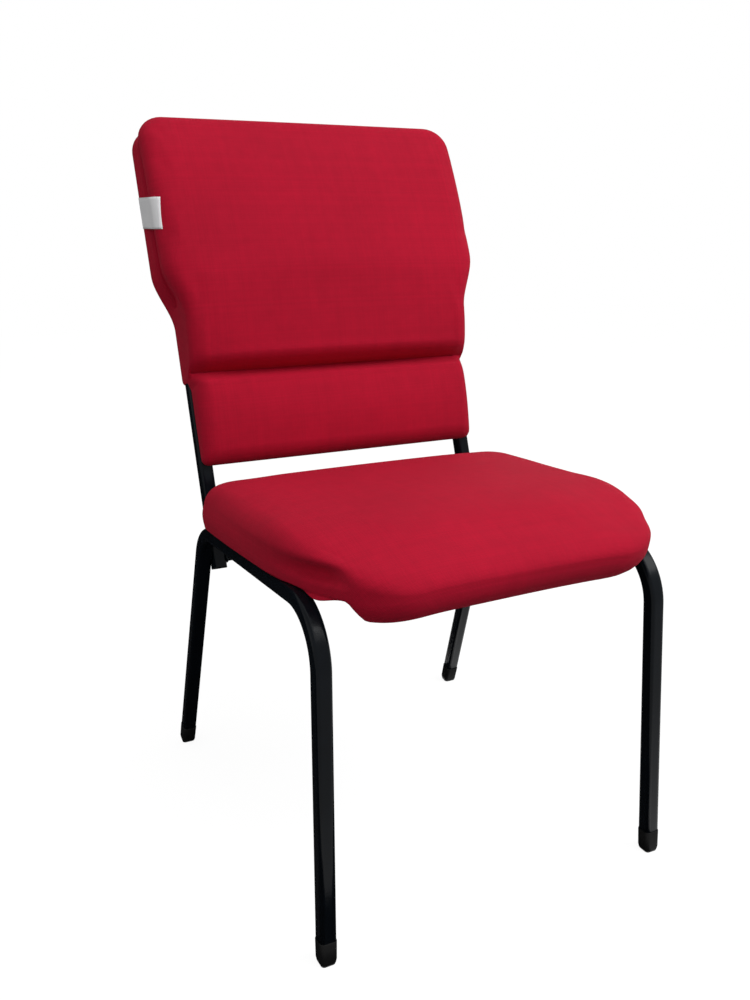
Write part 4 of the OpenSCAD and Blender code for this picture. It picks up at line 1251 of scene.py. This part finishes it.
tag_levels = [mixed(TAG_LOW, TAG_HIGH, j / TAG_ROWS) for j in range(TAG_ROWS + 1)]
tag_grid = [[on_side(mixed(TAG_REAR, TAG_FRONT, i / TAG_COLUMNS), level) for level in tag_levels]
            for i in range(TAG_COLUMNS + 1)]
for turn in range(300):
    for before, here, after in zip(tag_grid, tag_grid[1:], tag_grid[2:]):
        for a, p, b in zip(before, here, after):
            p.x = min(p.x, mixed(a.x, b.x, (p.y - a.y) / (b.y - a.y) if b.y != a.y else 0.5))
middle_row = [column[TAG_ROWS // 2] for column in tag_grid]
run = [0.0]
for before, here in zip(middle_row, middle_row[1:]):
    run.append(run[-1] + (here - before).length)
bm = grid(TAG_COLUMNS, TAG_ROWS)
tag_map = bm.loops.layers.uv.new("cloth")
spots = {v: (round((v.co.x + 1) / 2 * TAG_COLUMNS), round((v.co.y + 1) / 2 * TAG_ROWS)) for v in bm.verts}
for v, (i, j) in spots.items():
    v.co = tag_grid[i][j]
    for loop in v.link_loops:
        loop[tag_map].uv = (run[i], tag_levels[j])
tag = piece(bm, "blank_tag", label_cloth, back_cushion_axes, ["side_label"])
thick(tag, TAG_T)


# %% Stitches
def stitches(name, rows, radius, long, material):
    """Lays a small thread from each point of a row to the next."""
    stitch = bmesh.new()
    bmesh.ops.create_uvsphere(stitch, u_segments=6, v_segments=5, radius=radius)
    bmesh.ops.scale(stitch, vec=(1, 1, long), verts=stitch.verts)
    bm = bmesh.new()
    for row in rows:
        for start, end in zip(row, row[1:]):
            turned = (end - start).to_track_quat("Z", "Y").to_matrix().to_4x4()
            add_copy(bm, stitch, back_cushion_axes @ Matrix.Translation((start + end) / 2) @ turned)
    stitch.free()
    piece(bm, name, material)


tag_rows = [[p - Vector((0.0004, 0, 0)) for p in tag_grid[i]] for i in (1, TAG_COLUMNS - 1)]
stitches("tag_stitches", tag_rows, 0.0003, 4, label_cloth)

# %% [markdown]
# ## Channel seam
# Cover and foam are sewn through to the board along the channel. The stitches lie at its bottom, in the
# shade, one after the other from side to side.

# %% Channel stitches
STITCH, STITCHES = 0.0042, 94
seam_row = []
for i in range(STITCHES + 1):
    u = STITCH * (i - STITCHES // 2)
    hit, normal, *_ = back_skin.find_nearest(Vector((u, back_face(u, CHANNEL), CHANNEL)))
    seam_row.append(hit + normal * 0.0003)
stitches("channel_stitches", [seam_row], 0.0004, 4.2, seam_thread)

# %% [markdown]
# ## Finishes for the CAD pieces that stay
# Boards, tabs, screws, washers, tee nuts, clips and plugs keep their CAD shape and get their finish here.

# %% Assign finishes
kept = {
    board_wood: ("seat_board", "back_board"),
    frame_enamel: ("back_cross_bar", "seat_tabs", "back_tabs"),
    zinc_steel: ("seat_washers", "seat_tee_nuts", "back_washers", "back_tee_nuts"),
    black_steel: ("seat_screws", "back_screws"),
    clip_plastic: ("rear_panel_clips",),
    foot_plastic: ("upright_plugs",),
}
for material, names in kept.items():
    for name in names:
        for slot in nodes[name].material_slots:
            slot.material = material
    print(*names, "get", material.name)
